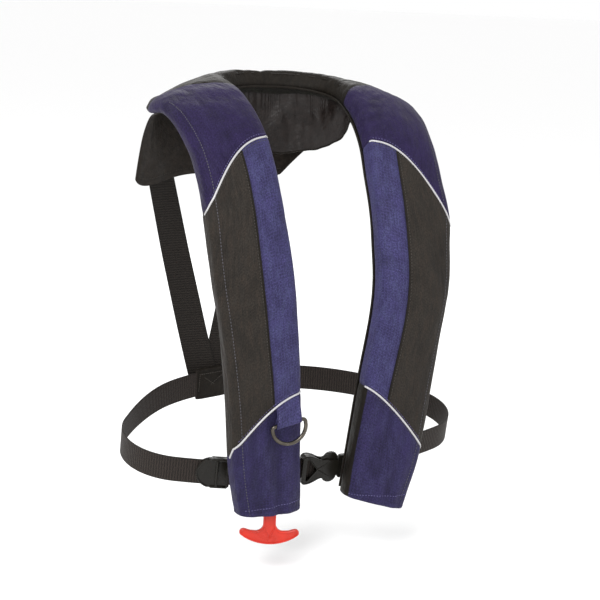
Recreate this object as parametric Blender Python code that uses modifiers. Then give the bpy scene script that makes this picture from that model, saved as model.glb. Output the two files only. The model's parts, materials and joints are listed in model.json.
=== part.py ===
"""Inflatable life jacket with a side-release belt, modelled as worn by an upright adult.

Frame: metres, +Z up. The wearer faces -Y, so the wearer's right side is at -X. The origin is
the middle of the neck opening at the height of the shoulders. Helpers take millimetres.

A folded bladder lies inside a padded cover. The cover is a band that starts at the lower end
of the right lobe, runs over the shoulder, round the neck and down to the end of the left lobe.
STATIONS gives both edges of the right half of that band, and the left half mirrors it.
The belt and its hardware lie in a tilted plane, as an oval made of four arcs.
"""

import math

import bmesh
import bpy
from mathutils import Matrix, Vector

# ---------------------------------------------------------------- driving dimensions, mm
MM = 0.001
GAP = 0.3
SHARP = math.radians(40)

# Inner edge and outer edge of the band at each station, lower end of the right lobe first.
STATIONS = [
    ((28, -136, -458), (101, -143, -467)),
    ((33, -140, -398), (114, -149, -405)),
    ((40, -149, -318), (123, -152, -325)),
    ((50, -156, -242), (134, -150, -246)),
    ((54, -152, -196), (141, -147, -204)),
    ((56, -139, -156), (144, -138, -167)),
    ((58, -119, -114), (146, -128, -128)),
    ((60, -96, -72), (146, -105, -90)),
    ((64, -73, -38), (149, -76, -56)),
    ((68, -40, -12), (155, -35, -29)),
    ((72, 0, 6), (160, 6, -18)),
    ((75, 38, 14), (160, 52, -22)),
    ((64, 70, 18), (140, 103, -24)),
    ((36, 90, 20), (84, 148, -26)),
    ((0, 97, 20), (0, 164, -27)),
]
LAST = len(STATIONS) - 1
SHOULDER = 10
STEP = 0.5

CROWN = 9.0
COVER_WALL = 1.2
LIP_DEPTH = 22.0
CLOSURE_WIDTH = 14.0
CLOSURE_WALL = 1.0
BACK_WALL = 1.4

BLADDER_THIN = 2.1
BLADDER_THICK = 17.0
BLADDER_THIN_END = 3.0
BLADDER_THICK_START = 3.8

PIPING_RADIUS = 1.5
PIPING_RIGHT = ((-43.0, -72.0, 2.2), (-318.5, -60.0, 1.8))
PIPING_LEFT = ((-47.0, -90.0, 2.1), (-318.0, -76.0, 1.25))

BELT_TILT = math.radians(9.5)
BELT_HEIGHT = -407.0
BELT_X = 10.0
BELT_WIDTH = 31.0
BELT_THICK = 1.8
SIDE_X = 139.0
SIDE_Y = -8.0
SIDE_R = 70.0
FRONT_Y = -107.0
BACK_Y = 134.0

HARNESS_X = -44.0
STRAP_WIDTH = 38.0
STRAP_THICK = 1.8
STRAP_TOP = (74.0, -110.0)
STRAP_FOOT = (9.0, -364.0)

BAND_UNDERSIDE = -26.2
HANG_ROWS = 5
LINING_SPAN = 3.3
LINING_INSET = 4.0
LINING_DEPTH = -80.0
LINING_RISE = 46.0
LINING_WALL = 1.2

YOKE_START = 10.4
YOKE_END = 16.6
YOKE_INSET = 9.0
YOKE_HALF = 112.0
YOKE_LEFT = -157.0
YOKE_SPAN = 197.0
YOKE_BACK = 150.0
YOKE_SAG = 40.0
YOKE_DEPTH = -113.0
YOKE_DROOP = 12.0
YOKE_ROUND = 7.0
YOKE_WALL = 2.0

PATCH_HALF = (24.0, 19.5)
PATCH_INNER = -4.4
PATCH_OUTER = 3.6
WEBBING_SLOT = 16.2
PLUG_STRAP_WIDTH = 25.0

TUNNEL_INSIDE = 34.0
TUNNEL_WALL = 1.3
TUNNEL_FOOT = 6.0
PANEL_Y = -111.6
PANEL_SLOPE = 0.11

RING_HALF = 20.0
RING_DROP = 24.0
RING_WIRE = 2.25
RING_CENTRE = (-59.0, -162.6, -349.0)
RING_TILT = math.radians(-12)
TAB_WIDTH = 30.0

INFLATOR = (-87.0, -145.4, -372.0)
INFLATOR_HALF_X = 14.0
INFLATOR_HALF_Z = 26.0
STUD_DROP = 14.0
CYLINDER_R = 9.3
CYLINDER_LENGTH = 92.0
LEVER_PIVOT = (-68.5, -144.8, -356.0)
LEVER_ARM = 21.0

HANDLE_X = -68.0
HANDLE_Y = -142.6
HANDLE_TURN = math.radians(-20)
HANDLE_TOP = -456.0
HANDLE_BOTTOM = -496.5

ORAL = (78.0, -143.0, -300.0)
ORAL_R = 6.2
ORAL_LENGTH = 86.0

BUCKLE_DEPTH = 11.0
SOCKET_SLOT = 2.9
PLUG_DEPTH = 5.0
PRONG_PIVOT = (28.5, 8.5)

ADJUSTER_X = -114.0
ADJUSTER_DEPTH = 7.4
ADJUSTER_SLOT = 1.9


# ---------------------------------------------------------------- scene and materials
def clear_scene():
    for old in list(bpy.data.objects):
        bpy.data.objects.remove(old, do_unlink=True)


def new_collection(name):
    group = bpy.data.collections.new(name)
    bpy.context.scene.collection.children.link(group)
    return group


def material(name, colour, roughness, metallic=0.0):
    """A Principled material, made once for each name."""
    found = bpy.data.materials.get(name)
    if found:
        return found
    made = bpy.data.materials.new(name)
    made.use_nodes = True
    shader = made.node_tree.nodes["Principled BSDF"]
    shader.inputs["Base Color"].default_value = (*colour, 1.0)
    shader.inputs["Roughness"].default_value = roughness
    shader.inputs["Metallic"].default_value = metallic
    return made


def ripstop_blue():
    return material("ripstop_blue", (0.045, 0.035, 0.15), 0.6)


def lining_black():
    return material("lining_black", (0.02, 0.017, 0.015), 0.75)


def webbing_black():
    return material("webbing_black", (0.018, 0.015, 0.013), 0.8)


def reflective():
    return material("reflective_piping", (0.68, 0.67, 0.65), 0.35)


def acetal_black():
    return material("acetal_black", (0.015, 0.015, 0.013), 0.4)


def steel():
    return material("ring_steel", (0.16, 0.14, 0.11), 0.35, 1.0)


def handle_red():
    return material("handle_red", (0.75, 0.05, 0.025), 0.35)


def bladder_yellow():
    return material("bladder_yellow", (0.75, 0.6, 0.02), 0.5)


def cylinder_steel():
    return material("cylinder_steel", (0.45, 0.45, 0.43), 0.3, 1.0)


def cap_yellow():
    return material("cap_yellow", (0.8, 0.55, 0.02), 0.4)


def tube_black():
    return material("tube_rubber", (0.02, 0.02, 0.02), 0.6)


# ---------------------------------------------------------------- generic builders
def adopt(obj, group, paint, parent=None):
    """Puts an object in its collection, gives it one material and an optional parent."""
    for owner in list(obj.users_collection):
        owner.objects.unlink(obj)
    group.objects.link(obj)
    obj.data.materials.clear()
    obj.data.materials.append(paint)
    if parent:
        obj.parent = parent
    return obj


def object_from_mesh(name, bm, group, paint, parent=None):
    mesh = bpy.data.meshes.new(name)
    bm.to_mesh(mesh)
    bm.free()
    obj = bpy.data.objects.new(name, mesh)
    bpy.context.scene.collection.objects.link(obj)
    return adopt(obj, group, paint, parent)


def shaded(obj):
    """Smooth shading, with the edges sharper than SHARP kept crisp."""
    obj.data.shade_smooth()
    obj.data.set_sharp_from_angle(angle=SHARP)
    return obj


def set_origin(obj, point):
    """Moves the object's origin to a point in mm, and keeps the shape where it is."""
    place = Vector(point) * MM
    obj.data.transform(Matrix.Translation(-place))
    obj.location = place
    return obj


def grid_mesh(rows, flip=False):
    """A sheet through rows of points in mm."""
    bm = bmesh.new()
    verts = [[bm.verts.new(Vector(p) * MM) for p in row] for row in rows]
    for a, b in zip(verts, verts[1:]):
        for k in range(len(a) - 1):
            quad = [a[k], a[k + 1], b[k + 1], b[k]]
            if flip:
                quad.reverse()
            bm.faces.new(quad)
    return bm, verts


def sheet(name, rows, thickness, group, paint, flip=False, parent=None):
    """A fabric panel: an open sheet given its thickness by Solidify, on its back side."""
    bm, _ = grid_mesh(rows, flip)
    obj = shaded(object_from_mesh(name, bm, group, paint, parent))
    return thicken(obj, thickness)


def thicken(obj, thickness):
    shell = obj.modifiers.new("thickness", "SOLIDIFY")
    shell.thickness = thickness * MM
    shell.offset = -1
    shell.use_even_offset = True
    return obj


def loft(name, rings, group, paint, parent=None):
    """A closed solid through rings of points in mm, with flat ends."""
    bm = bmesh.new()
    verts = [[bm.verts.new(Vector(p) * MM) for p in ring] for ring in rings]
    for a, b in zip(verts, verts[1:]):
        for k in range(len(a)):
            m = (k + 1) % len(a)
            bm.faces.new([a[k], a[m], b[m], b[k]])
    bm.faces.new(verts[0])
    bm.faces.new(list(reversed(verts[-1])))
    bmesh.ops.recalc_face_normals(bm, faces=bm.faces)
    return shaded(object_from_mesh(name, bm, group, paint, parent))


def block(name, low, high, group, paint, bevel=0.0, parent=None):
    """A box between two corners in mm, with optional rounded edges."""
    bm = bmesh.new()
    bmesh.ops.create_cube(bm, size=1.0)
    size = Vector(high) - Vector(low)
    middle = (Vector(high) + Vector(low)) / 2
    bmesh.ops.scale(bm, vec=size * MM, verts=bm.verts)
    bmesh.ops.translate(bm, vec=middle * MM, verts=bm.verts)
    obj = object_from_mesh(name, bm, group, paint, parent)
    return set_origin(rounded(obj, bevel), middle)


def rounded(obj, width, segments=2):
    if width:
        edge = obj.modifiers.new("rounded", "BEVEL")
        edge.width = width * MM
        edge.segments = segments
        edge.limit_method = "ANGLE"
    return obj


def turned(name, profile, place, turn, group, paint, segments=24, parent=None):
    """A lathe part: (radius, height) pairs in mm, top first, turned round its own Z axis."""
    bm = bmesh.new()
    verts = [bm.verts.new((r * MM, 0, h * MM)) for r, h in profile]
    for a, b in zip(verts, verts[1:]):
        bm.edges.new((a, b))
    obj = object_from_mesh(name, bm, group, paint, parent)
    screw = obj.modifiers.new("turned", "SCREW")
    screw.steps = segments
    screw.render_steps = segments
    screw.use_merge_vertices = True
    screw.merge_threshold = 0.00005
    obj.location = Vector(place) * MM
    obj.rotation_euler = turn
    return obj


def outline(name, splines, thickness, group, paint, parent=None, corner=0.0):
    """A flat plate: closed outlines in mm in the local XY plane, extruded both ways in Z."""
    curve = bpy.data.curves.new(name, "CURVE")
    curve.dimensions = "2D"
    curve.fill_mode = "BOTH"
    curve.extrude = (thickness / 2 - corner) * MM
    curve.bevel_depth = corner * MM
    curve.bevel_resolution = 1
    curve.offset = -corner * MM
    for points in splines:
        spline = curve.splines.new("POLY")
        spline.points.add(len(points) - 1)
        for knot, (x, y) in zip(spline.points, points):
            knot.co = (x * MM, y * MM, 0, 1)
        spline.use_cyclic_u = True
    obj = bpy.data.objects.new(name, curve)
    bpy.context.scene.collection.objects.link(obj)
    return adopt(obj, group, paint, parent)


def wire(name, points, radius, group, paint, closed=False, sides=2):
    """A round wire or cord through points in mm."""
    curve = bpy.data.curves.new(name, "CURVE")
    curve.dimensions = "3D"
    curve.bevel_depth = radius * MM
    curve.bevel_resolution = sides
    curve.use_fill_caps = not closed
    spline = curve.splines.new("POLY")
    spline.points.add(len(points) - 1)
    for knot, p in zip(spline.points, points):
        knot.co = (*(Vector(p) * MM), 1)
    spline.use_cyclic_u = closed
    obj = bpy.data.objects.new(name, curve)
    bpy.context.scene.collection.objects.link(obj)
    return adopt(obj, group, paint)


def as_mesh(obj):
    """Replaces a curve object by its evaluated mesh, welded, at the same place."""
    bpy.context.view_layer.update()
    graph = bpy.context.evaluated_depsgraph_get()
    mesh = bpy.data.meshes.new_from_object(obj.evaluated_get(graph))
    bm = bmesh.new()
    bm.from_mesh(mesh)
    bmesh.ops.remove_doubles(bm, verts=bm.verts, dist=0.00001)
    bm.to_mesh(mesh)
    bm.free()
    name = obj.name
    paint = obj.data.materials[0]
    group = obj.users_collection[0]
    parent = obj.parent
    place = obj.matrix_world.copy()
    bpy.data.objects.remove(obj, do_unlink=True)
    made = bpy.data.objects.new(name, mesh)
    bpy.context.scene.collection.objects.link(made)
    adopt(made, group, paint, parent)
    bpy.context.view_layer.update()
    made.matrix_world = place
    return shaded(made)


def cutter_style(cutter):
    cutter.hide_render = True
    cutter.display_type = "WIRE"
    return cutter


def cut(obj, cutter):
    """Subtracts the cutter from the object."""
    hole = obj.modifiers.new("cut_" + cutter.name, "BOOLEAN")
    hole.operation = "DIFFERENCE"
    hole.solver = "EXACT"
    hole.object = cutter_style(cutter)
    return obj


def frame_empty(name, place, turn, group, parent=None):
    empty = bpy.data.objects.new(name, None)
    group.objects.link(empty)
    empty.location = Vector(place) * MM
    empty.rotation_euler = turn
    empty.parent = parent
    return empty


def arc(centre, radius, start, end, count):
    """Points on a circular arc in a plane, angles in degrees."""
    points = []
    for k in range(count + 1):
        angle = math.radians(start + (end - start) * k / count)
        points.append((centre[0] + radius * math.cos(angle), centre[1] + radius * math.sin(angle)))
    return points


# ---------------------------------------------------------------- the band
def mirrored(point, side):
    return Vector((point[0] * side, point[1], point[2]))


def smooth(values, t):
    """Catmull-Rom interpolation through a list of vectors, clamped at its ends."""
    k = min(int(t), len(values) - 2)
    u = t - k
    p1 = values[k]
    p2 = values[k + 1]
    p0 = values[k - 1] if k > 0 else p1 + (p1 - p2)
    p3 = values[k + 2] if k + 2 < len(values) else p2 + (p2 - p1)
    a = 2 * p1
    b = p2 - p0
    c = 2 * p0 - 5 * p1 + 4 * p2 - p3
    d = 3 * p1 - p0 - 3 * p2 + p3
    return 0.5 * (a + b * u + c * u * u + d * u * u * u)


# The whole band, right lobe first (at -X), then the left half mirrored.
RIGHT_INNER = [mirrored(inner, -1) for inner, _ in STATIONS]
RIGHT_OUTER = [mirrored(outer, -1) for _, outer in STATIONS]
INNER = RIGHT_INNER + [mirrored(p, -1) for p in reversed(RIGHT_INNER[:-1])]
OUTER = RIGHT_OUTER + [mirrored(p, -1) for p in reversed(RIGHT_OUTER[:-1])]


def section(t):
    """Inner edge, unit vector across to the outer edge, width, and outward normal at t."""
    inner = smooth(INNER, t)
    outer = smooth(OUTER, t)
    across = outer - inner
    ahead = smooth(INNER, min(t + 0.05, 2 * LAST)) + smooth(OUTER, min(t + 0.05, 2 * LAST))
    behind = smooth(INNER, max(t - 0.05, 0)) + smooth(OUTER, max(t - 0.05, 0))
    normal = (ahead - behind).cross(across).normalized()
    return inner, across.normalized(), across.length, normal


def band_point(t, w, n):
    """A point of the band's section at t: w mm from the inner edge, n mm out of the band."""
    inner, across, width, normal = section(t)
    if w < 0:
        w += width
    return inner + across * w + normal * n


def crown(w, width):
    """How far the padded front stands proud of the line between the band's edges."""
    share = max(0.0, min(1.0, w / width))
    return CROWN * (1 - (2 * share - 1) ** 2) ** 0.6


def cover_profile(width):
    """The cover's section from the inner lip, over the crowned front, to the outer lip."""
    side = [(CLOSURE_WIDTH * 0.5, -LIP_DEPTH), (1.0, -LIP_DEPTH), (-0.6, -18.0), (0.0, -8.0), (2.0, -1.0)]
    front = []
    for share in (0.12, 0.3, 0.5, 0.7, 0.88):
        front.append((share * width, crown(share * width, width)))
    other = [(width - 2.0, -1.0), (width, -8.0), (width + 0.6, -18.0), (width - 1.0, -LIP_DEPTH)]
    return side + front + other + [(width - CLOSURE_WIDTH, -LIP_DEPTH)]


def stations(start, end):
    count = round((end - start) / STEP)
    return [start + (end - start) * k / count for k in range(count + 1)]


def cover_rows(start, end):
    rows = []
    for t in stations(start, end):
        inner, across, width, normal = section(t)
        rows.append([inner + across * w + normal * n for w, n in cover_profile(width)])
    return rows


def lobe_cover(name, start, end, group):
    """A lobe's front cover: the swept profile, closed at the lobe's lower end."""
    bm, verts = grid_mesh(cover_rows(start, end))
    lower = verts[0] if start == 0 else verts[-1]
    bm.faces.new(lower if start != 0 else list(reversed(lower)))
    bmesh.ops.recalc_face_normals(bm, faces=bm.faces)
    obj = shaded(object_from_mesh(name, bm, group, ripstop_blue()))
    return thicken(obj, COVER_WALL)


def band_strip(name, span, reach, n_top, wall, group, columns=3):
    """A flat strip of the band's back, over a span of stations.

    The reach is measured from the inner edge, or from the outer edge where it is negative.
    """
    rows = []
    for t in stations(*span):
        _, _, width, _ = section(t)
        low, high = (w if w >= 0 else width + w for w in reach)
        row = [band_point(t, low + (high - low) * k / columns, n_top) for k in range(columns + 1)]
        rows.append(row)
    return sheet(name, rows, wall, group, lining_black(), flip=True)


def bladder_ring(t):
    """The folded bladder's section: thin beside the inflator and the oral tube."""
    _, _, width, _ = section(t)
    near = min(t, 2 * LAST - t)
    share = (near - BLADDER_THIN_END) / (BLADDER_THICK_START - BLADDER_THIN_END)
    share = max(0.0, min(1.0, share))
    thick = BLADDER_THIN + (BLADDER_THICK - BLADDER_THIN) * share
    low = -LIP_DEPTH + COVER_WALL + 0.9
    corner = min(2.0, thick / 2 - 0.5)
    left = 5.0
    right = width - 7.0
    pairs = [
        (left + corner, low),
        (right - corner, low),
        (right, low + corner),
        (right, low + thick - corner),
        (right - corner, low + thick),
        (left + corner, low + thick),
        (left, low + thick - corner),
        (left, low + corner),
    ]
    return [band_point(t, w, n) for w, n in pairs]


def build_bladder(group):
    rings = [bladder_ring(t) for t in stations(0.3, 2 * LAST - 0.3)]
    return loft("bladder", rings, group, bladder_yellow())


def surface_point(t, share, lift):
    """A point on the cover's front, lifted off it by lift mm."""
    inner, across, width, normal = section(t)
    w = share * width
    edge = max(0.0, abs(share - 0.5) - 0.44) / 0.06
    return inner + across * w + normal * (crown(w, width) + lift - 1.5 * edge)


def station_at_height(height, share, low, high):
    """The station whose front point at this share across lies at the given height."""
    for _ in range(30):
        middle = (low + high) / 2
        if surface_point(middle, share, 0).z < height:
            low = middle
        else:
            high = middle
    return (low + high) / 2


def piping_points(law, mirror):
    """A piping runs across a lobe, lower towards the outer edge by the law's power curve."""
    top, drop, power = law
    points = []
    for k in range(13):
        share = 0.02 + 0.96 * k / 12
        t = station_at_height(top + drop * share**power, share, 0, SHOULDER)
        points.append(mirrored(surface_point(t, share, PIPING_RADIUS + 0.8), mirror))
    return points


def build_covers(group, cutters):
    """Both lobes' covers, the right one with a slot for the handle, and the collar's cover."""
    end = 2 * LAST
    right = lobe_cover("right_front_cover", 0, SHOULDER, group)
    low = (HANDLE_X - 9, HANDLE_Y - 6.3, HANDLE_TOP - 20)
    high = (HANDLE_X + 9, HANDLE_Y + 5.4, HANDLE_TOP)
    cut(right, block("handle_slot", low, high, cutters, lining_black()))
    lobe_cover("left_front_cover", end - SHOULDER, end, group)
    collar_mesh, _ = grid_mesh(cover_rows(SHOULDER + 0.01, end - SHOULDER - 0.01), True)
    collar = shaded(object_from_mesh("collar_cover", collar_mesh, group, lining_black()))
    thicken(collar, COVER_WALL)


def build_backs(group):
    """The burst closures along the outer edges, and the panels on the wearer's side."""
    end = 2 * LAST
    strip_n = -LIP_DEPTH - GAP
    back_n = -LIP_DEPTH - 3 * GAP - CLOSURE_WALL
    closure = (-CLOSURE_WIDTH, -1.0)
    whole = (0.5, -0.5)
    lobes = (("right", 0.02, SHOULDER - 0.03), ("left", end - SHOULDER + 0.03, end - 0.02))
    for name, start, stop in lobes:
        band_strip(name + "_closure", (start, stop), closure, strip_n, CLOSURE_WALL, group, 1)
        band_strip(name + "_back_panel", (start, stop), whole, back_n, BACK_WALL, group)
    collar = (SHOULDER + 0.03, end - SHOULDER - 0.03)
    band_strip("collar_back_panel", collar, whole, back_n, BACK_WALL, group)


def build_pipings(group):
    for side_name, mirror, laws in (("right", 1, PIPING_RIGHT), ("left", -1, PIPING_LEFT)):
        for level, law in zip(("_upper_piping", "_lower_piping"), laws):
            points = piping_points(law, mirror)
            wire(side_name + level, points, PIPING_RADIUS, group, reflective(), sides=1)


# ---------------------------------------------------------------- neck lining and yoke
def hanging_sheet(name, reach, columns, top_place, bottom_place, wall, group, spread=1.0):
    """A panel that hangs from the band's underside, over a reach of stations.

    A spread under 1 makes the panel leave the band faster at the top than lower down.
    """
    start, end = reach
    rows = []
    for k in range(columns + 1):
        share = k / columns
        top = top_place(start + (end - start) * share)
        bottom = bottom_place(share, top)
        row = []
        for m in range(HANG_ROWS + 1):
            down = m / HANG_ROWS
            level = top.lerp(bottom, down**spread)
            level.z = top.z + (bottom.z - top.z) * down
            row.append(level)
        rows.append(row)
    return sheet(name, rows, wall, group, lining_black(), flip=True)


def build_neck_lining(group):
    """The gathered panel that hangs inside the collar, longest behind the neck."""

    def top_place(t):
        return band_point(t, LINING_INSET, BAND_UNDERSIDE)

    def bottom_place(share, top):
        side = abs(2 * share - 1)
        depth = LINING_DEPTH + LINING_RISE * side**3
        ripple = 1.2 * math.sin(40 * share)
        flare = 0.93 + 0.22 * side * side
        return Vector((top.x * flare, top.y - 4 + ripple, depth))

    middle = LAST
    span = LINING_SPAN
    reach = (middle - span, middle + span)
    hanging_sheet("neck_lining", reach, 20, top_place, bottom_place, LINING_WALL, group)


def yoke_y(x):
    return YOKE_BACK - YOKE_SAG * ((x - HARNESS_X) / YOKE_HALF) ** 2


def build_yoke(group):
    """The panel that hangs behind the shoulders, its hem lowest near the wearer's right."""

    def top_place(t):
        _, _, width, _ = section(t)
        return band_point(t, width - YOKE_INSET, BAND_UNDERSIDE - 1.4)

    def bottom_place(share, top):
        x = YOKE_LEFT + YOKE_SPAN * share
        droop = YOKE_DROOP * math.exp(-((5 * share - 0.5) ** 2))
        corner = YOKE_ROUND * (1 - share) ** 40
        return Vector((x, yoke_y(x), YOKE_DEPTH - droop + corner))

    reach = (YOKE_START, YOKE_END)
    hanging_sheet("back_yoke", reach, 16, top_place, bottom_place, YOKE_WALL, group, 0.6)


def back_strap(name, mirror, depth, group):
    """A wide strap from behind the yoke's lower edge to the patch on the belt."""
    run = Vector(STRAP_FOOT) - Vector(STRAP_TOP)
    half = STRAP_WIDTH / 2 * run.length / abs(run.y)
    rows = []
    for k in range(9):
        share = k / 8
        reach, z = Vector(STRAP_TOP) + run * share
        middle = HARNESS_X + mirror * reach
        row = []
        for across in (-1.0, -0.5, 0.0, 0.5, 1.0):
            x = middle + half * across
            y = (yoke_y(x) + 2.8) * (1 - share) + (BACK_Y + depth) * share
            row.append((x, y, z))
        rows.append(row)
    return sheet(name, rows, STRAP_THICK, group, webbing_black(), flip=True)


# ---------------------------------------------------------------- belt path
def big_arc(crest, sign):
    """Centre height and radius of the front or back arc that touches both side arcs."""
    reach = (SIDE_Y - crest) * sign
    radius = (SIDE_X**2 + reach**2 - SIDE_R**2) / (2 * (reach - SIDE_R))
    return crest + sign * radius, radius


FRONT_CENTRE, FRONT_R = big_arc(FRONT_Y, 1)
BACK_CENTRE, BACK_R = big_arc(BACK_Y, -1)
FRONT_TURN = math.degrees(math.atan2(SIDE_X, FRONT_CENTRE - SIDE_Y))
BACK_TURN = math.degrees(math.atan2(SIDE_X, SIDE_Y - BACK_CENTRE))


def belt_point(x_or_angle, offset=0.0, part="front", side=1):
    """A point of the belt's oval in its own plane, and its outward direction.

    On the front and back arcs the first argument is x, on a side arc the angle in degrees
    from the front direction.
    """
    if part == "front":
        angle = math.asin((x_or_angle - BELT_X) / FRONT_R)
        out = Vector((math.sin(angle), -math.cos(angle)))
        centre = Vector((BELT_X, FRONT_CENTRE))
        return centre + out * (FRONT_R + offset), out
    if part == "back":
        angle = math.asin((x_or_angle - BELT_X) / BACK_R)
        out = Vector((math.sin(angle), math.cos(angle)))
        centre = Vector((BELT_X, BACK_CENTRE))
        return centre + out * (BACK_R + offset), out
    angle = math.radians(x_or_angle)
    out = Vector((side * math.sin(angle), -math.cos(angle)))
    centre = Vector((BELT_X + side * SIDE_X, SIDE_Y))
    return centre + out * (SIDE_R + offset), out


def belt_path(start_x, end_x):
    """Points and outward directions from the right front, round the back, to the left front."""
    path = []
    edge = FRONT_R * math.sin(math.radians(FRONT_TURN))
    far = BACK_R * math.sin(math.radians(BACK_TURN))
    for k in range(5):
        path.append(belt_point(start_x + (BELT_X - edge - start_x) * k / 5))
    for k in range(10):
        angle = FRONT_TURN + (180 - BACK_TURN - FRONT_TURN) * k / 10
        path.append(belt_point(angle, part="side", side=-1))
    for k in range(20):
        angle = math.radians(-BACK_TURN + 2 * BACK_TURN * k / 20)
        path.append(belt_point(BELT_X + BACK_R * math.sin(angle), part="back"))
    for k in range(10):
        angle = 180 - BACK_TURN + (FRONT_TURN - 180 + BACK_TURN) * k / 10
        path.append(belt_point(angle, part="side", side=1))
    for k in range(6):
        path.append(belt_point(BELT_X + edge + (end_x - BELT_X - edge) * k / 5))
    return path


def webbing(name, path, width, thick, group, parent, offset=0.0):
    """Flat webbing that stands on edge along a path in the belt's plane."""
    rings = []
    for point, out in path:
        near = point + out * (offset - thick / 2)
        far = point + out * (offset + thick / 2)
        rings.append(
            [
                (near.x, near.y, -width / 2),
                (far.x, far.y, -width / 2),
                (far.x, far.y, width / 2),
                (near.x, near.y, width / 2),
            ]
        )
    return loft(name, rings, group, webbing_black(), parent)


def build_belt(group, belt):
    webbing("belt_webbing", belt_path(-72, 89), BELT_WIDTH, BELT_THICK, group, belt)
    front = [belt_point(-66 + 49.5 * k / 4) for k in range(5)]
    webbing("front_strap", front, PLUG_STRAP_WIDTH, BELT_THICK, group, belt)


def bridge(name, x_from, x_to, group, parent):
    """A sewn loop round the webbing, with a foot on the lobe's back panel above and below."""
    half = TUNNEL_INSIDE / 2
    lean = math.sin(BELT_TILT)
    rings = []
    for x in (x_from, x_to):
        plate = belt_point(x)[0].y + BELT_THICK / 2 + 0.5 + TUNNEL_WALL
        panel = PANEL_Y - PANEL_SLOPE * (abs(x) - 33)
        low = (panel - half * lean) / math.cos(BELT_TILT)
        high = (panel + half * lean) / math.cos(BELT_TILT)
        ring = [
            (-half - TUNNEL_FOOT, low),
            (-half, low),
            (-half, plate - TUNNEL_WALL),
            (half, plate - TUNNEL_WALL),
            (half, high),
            (half + TUNNEL_FOOT, high),
            (half + TUNNEL_FOOT, high + TUNNEL_WALL),
            (half + TUNNEL_WALL, high + TUNNEL_WALL),
            (half + TUNNEL_WALL, plate),
            (-half - TUNNEL_WALL, plate),
            (-half - TUNNEL_WALL, low + TUNNEL_WALL),
            (-half - TUNNEL_FOOT, low + TUNNEL_WALL),
        ]
        rings.append([(x, y, z) for z, y in ring])
    return loft(name, rings, group, lining_black(), parent)


def build_tunnels(group, belt):
    """Fabric loops behind both lobes that carry the webbing."""
    bridge("right_tunnel", -78, -42, group, belt)
    bridge("left_tunnel", 84, 112, group, belt)


def build_patch(group, cutters, belt):
    """The flat sleeve on the belt where both back straps are sewn."""
    place, out = belt_point(HARNESS_X, part="back")
    turn = math.atan2(out.y, out.x) - math.pi / 2
    stand = frame_empty("patch_frame", (place.x, place.y, 0), (0, 0, turn), group, belt)
    half_x, half_z = PATCH_HALF
    low = (-half_x, PATCH_INNER, -half_z)
    high = (half_x, PATCH_OUTER, half_z)
    patch = block("back_patch", low, high, group, lining_black(), parent=stand)
    wall = 1.5
    low = (-half_x - 16, PATCH_INNER + wall, -WEBBING_SLOT)
    high = (half_x + 16, PATCH_OUTER - wall - 0.6, WEBBING_SLOT)
    slot = block("patch_slot", low, high, cutters, lining_black(), parent=stand)
    cut(patch, slot)
    return patch


# ---------------------------------------------------------------- buckle and adjuster
def build_socket(group, cutters, belt):
    """The buckle's female half: two plates joined by a webbing bar at the wearer's right."""
    shape = [(-16, -18), (-8, -18.2), (2, -14), (11, -12), (17, -12), (28, -10)]
    shape += [(29.5, -6), (29.5, 6), (28, 10), (17, 12), (11, 12), (2, 14), (-8, 18.2), (-16, 18)]
    window = [(-12.5, -13), (-8.5, -13), (-3.5, -6), (-3.5, 6), (-8.5, 13), (-12.5, 13)]
    stand = frame_empty("socket_frame", (0, FRONT_Y, 0), (math.pi / 2, 0, 0), group, belt)
    plate = outline("buckle_socket", [shape, window], BUCKLE_DEPTH, group, acetal_black(), stand)
    plate = as_mesh(plate)
    low = (0, FRONT_Y - SOCKET_SLOT, -30)
    high = (40, FRONT_Y + SOCKET_SLOT, 30)
    slot = block("socket_slot", low, high, cutters, acetal_black(), parent=belt)
    cut(plate, slot)
    return plate


def build_plug(group, belt):
    """The male half: base with a webbing bar, and a centre guide inside the socket."""
    stand = frame_empty("plug_frame", (0, FRONT_Y, 0), (math.pi / 2, 0, 0), group, belt)
    shape = [(3, -2.2), (31, -2.2), (31, -13.5), (44, -15), (45.5, -13), (45.5, 13), (44, 15), (31, 13.5)]
    shape += [(31, 2.2), (3, 2.2), (1.5, 0)]
    window = [(38.5, -12.6), (42, -12.6), (42, 12.6), (38.5, 12.6)]
    plate = outline("buckle_plug", [shape, window], PLUG_DEPTH, group, acetal_black(), stand)
    plate = as_mesh(plate)
    for name, mirror in (("upper", 1), ("lower", -1)):
        place = (PRONG_PIVOT[0], PRONG_PIVOT[1] * mirror, 0)
        pivot = frame_empty(name + "_prong_pivot", place, (0, 0, 0), group, stand)
        arm = [(-20.5, -1.5), (-17, -3.8), (1.5, -2.5), (1.5, 2.0), (-0.5, 6)]
        arm += [(-2 + x, 1.4 + y) for x, y in arc((-6, 0), 9.4, 40, 140, 5)]
        arm += [(-17.5, 5.5), (-20.5, 2.5)]
        outer = [(x, y * mirror) for x, y in arm]
        outline(name + "_prong", [outer], PLUG_DEPTH, group, acetal_black(), pivot)
    strap = [(Vector((x, FRONT_Y)), Vector((0, -1))) for x in (46.0, 56.0)]
    webbing("plug_strap", strap, PLUG_STRAP_WIDTH, BELT_THICK, group, belt)
    return plate


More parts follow.
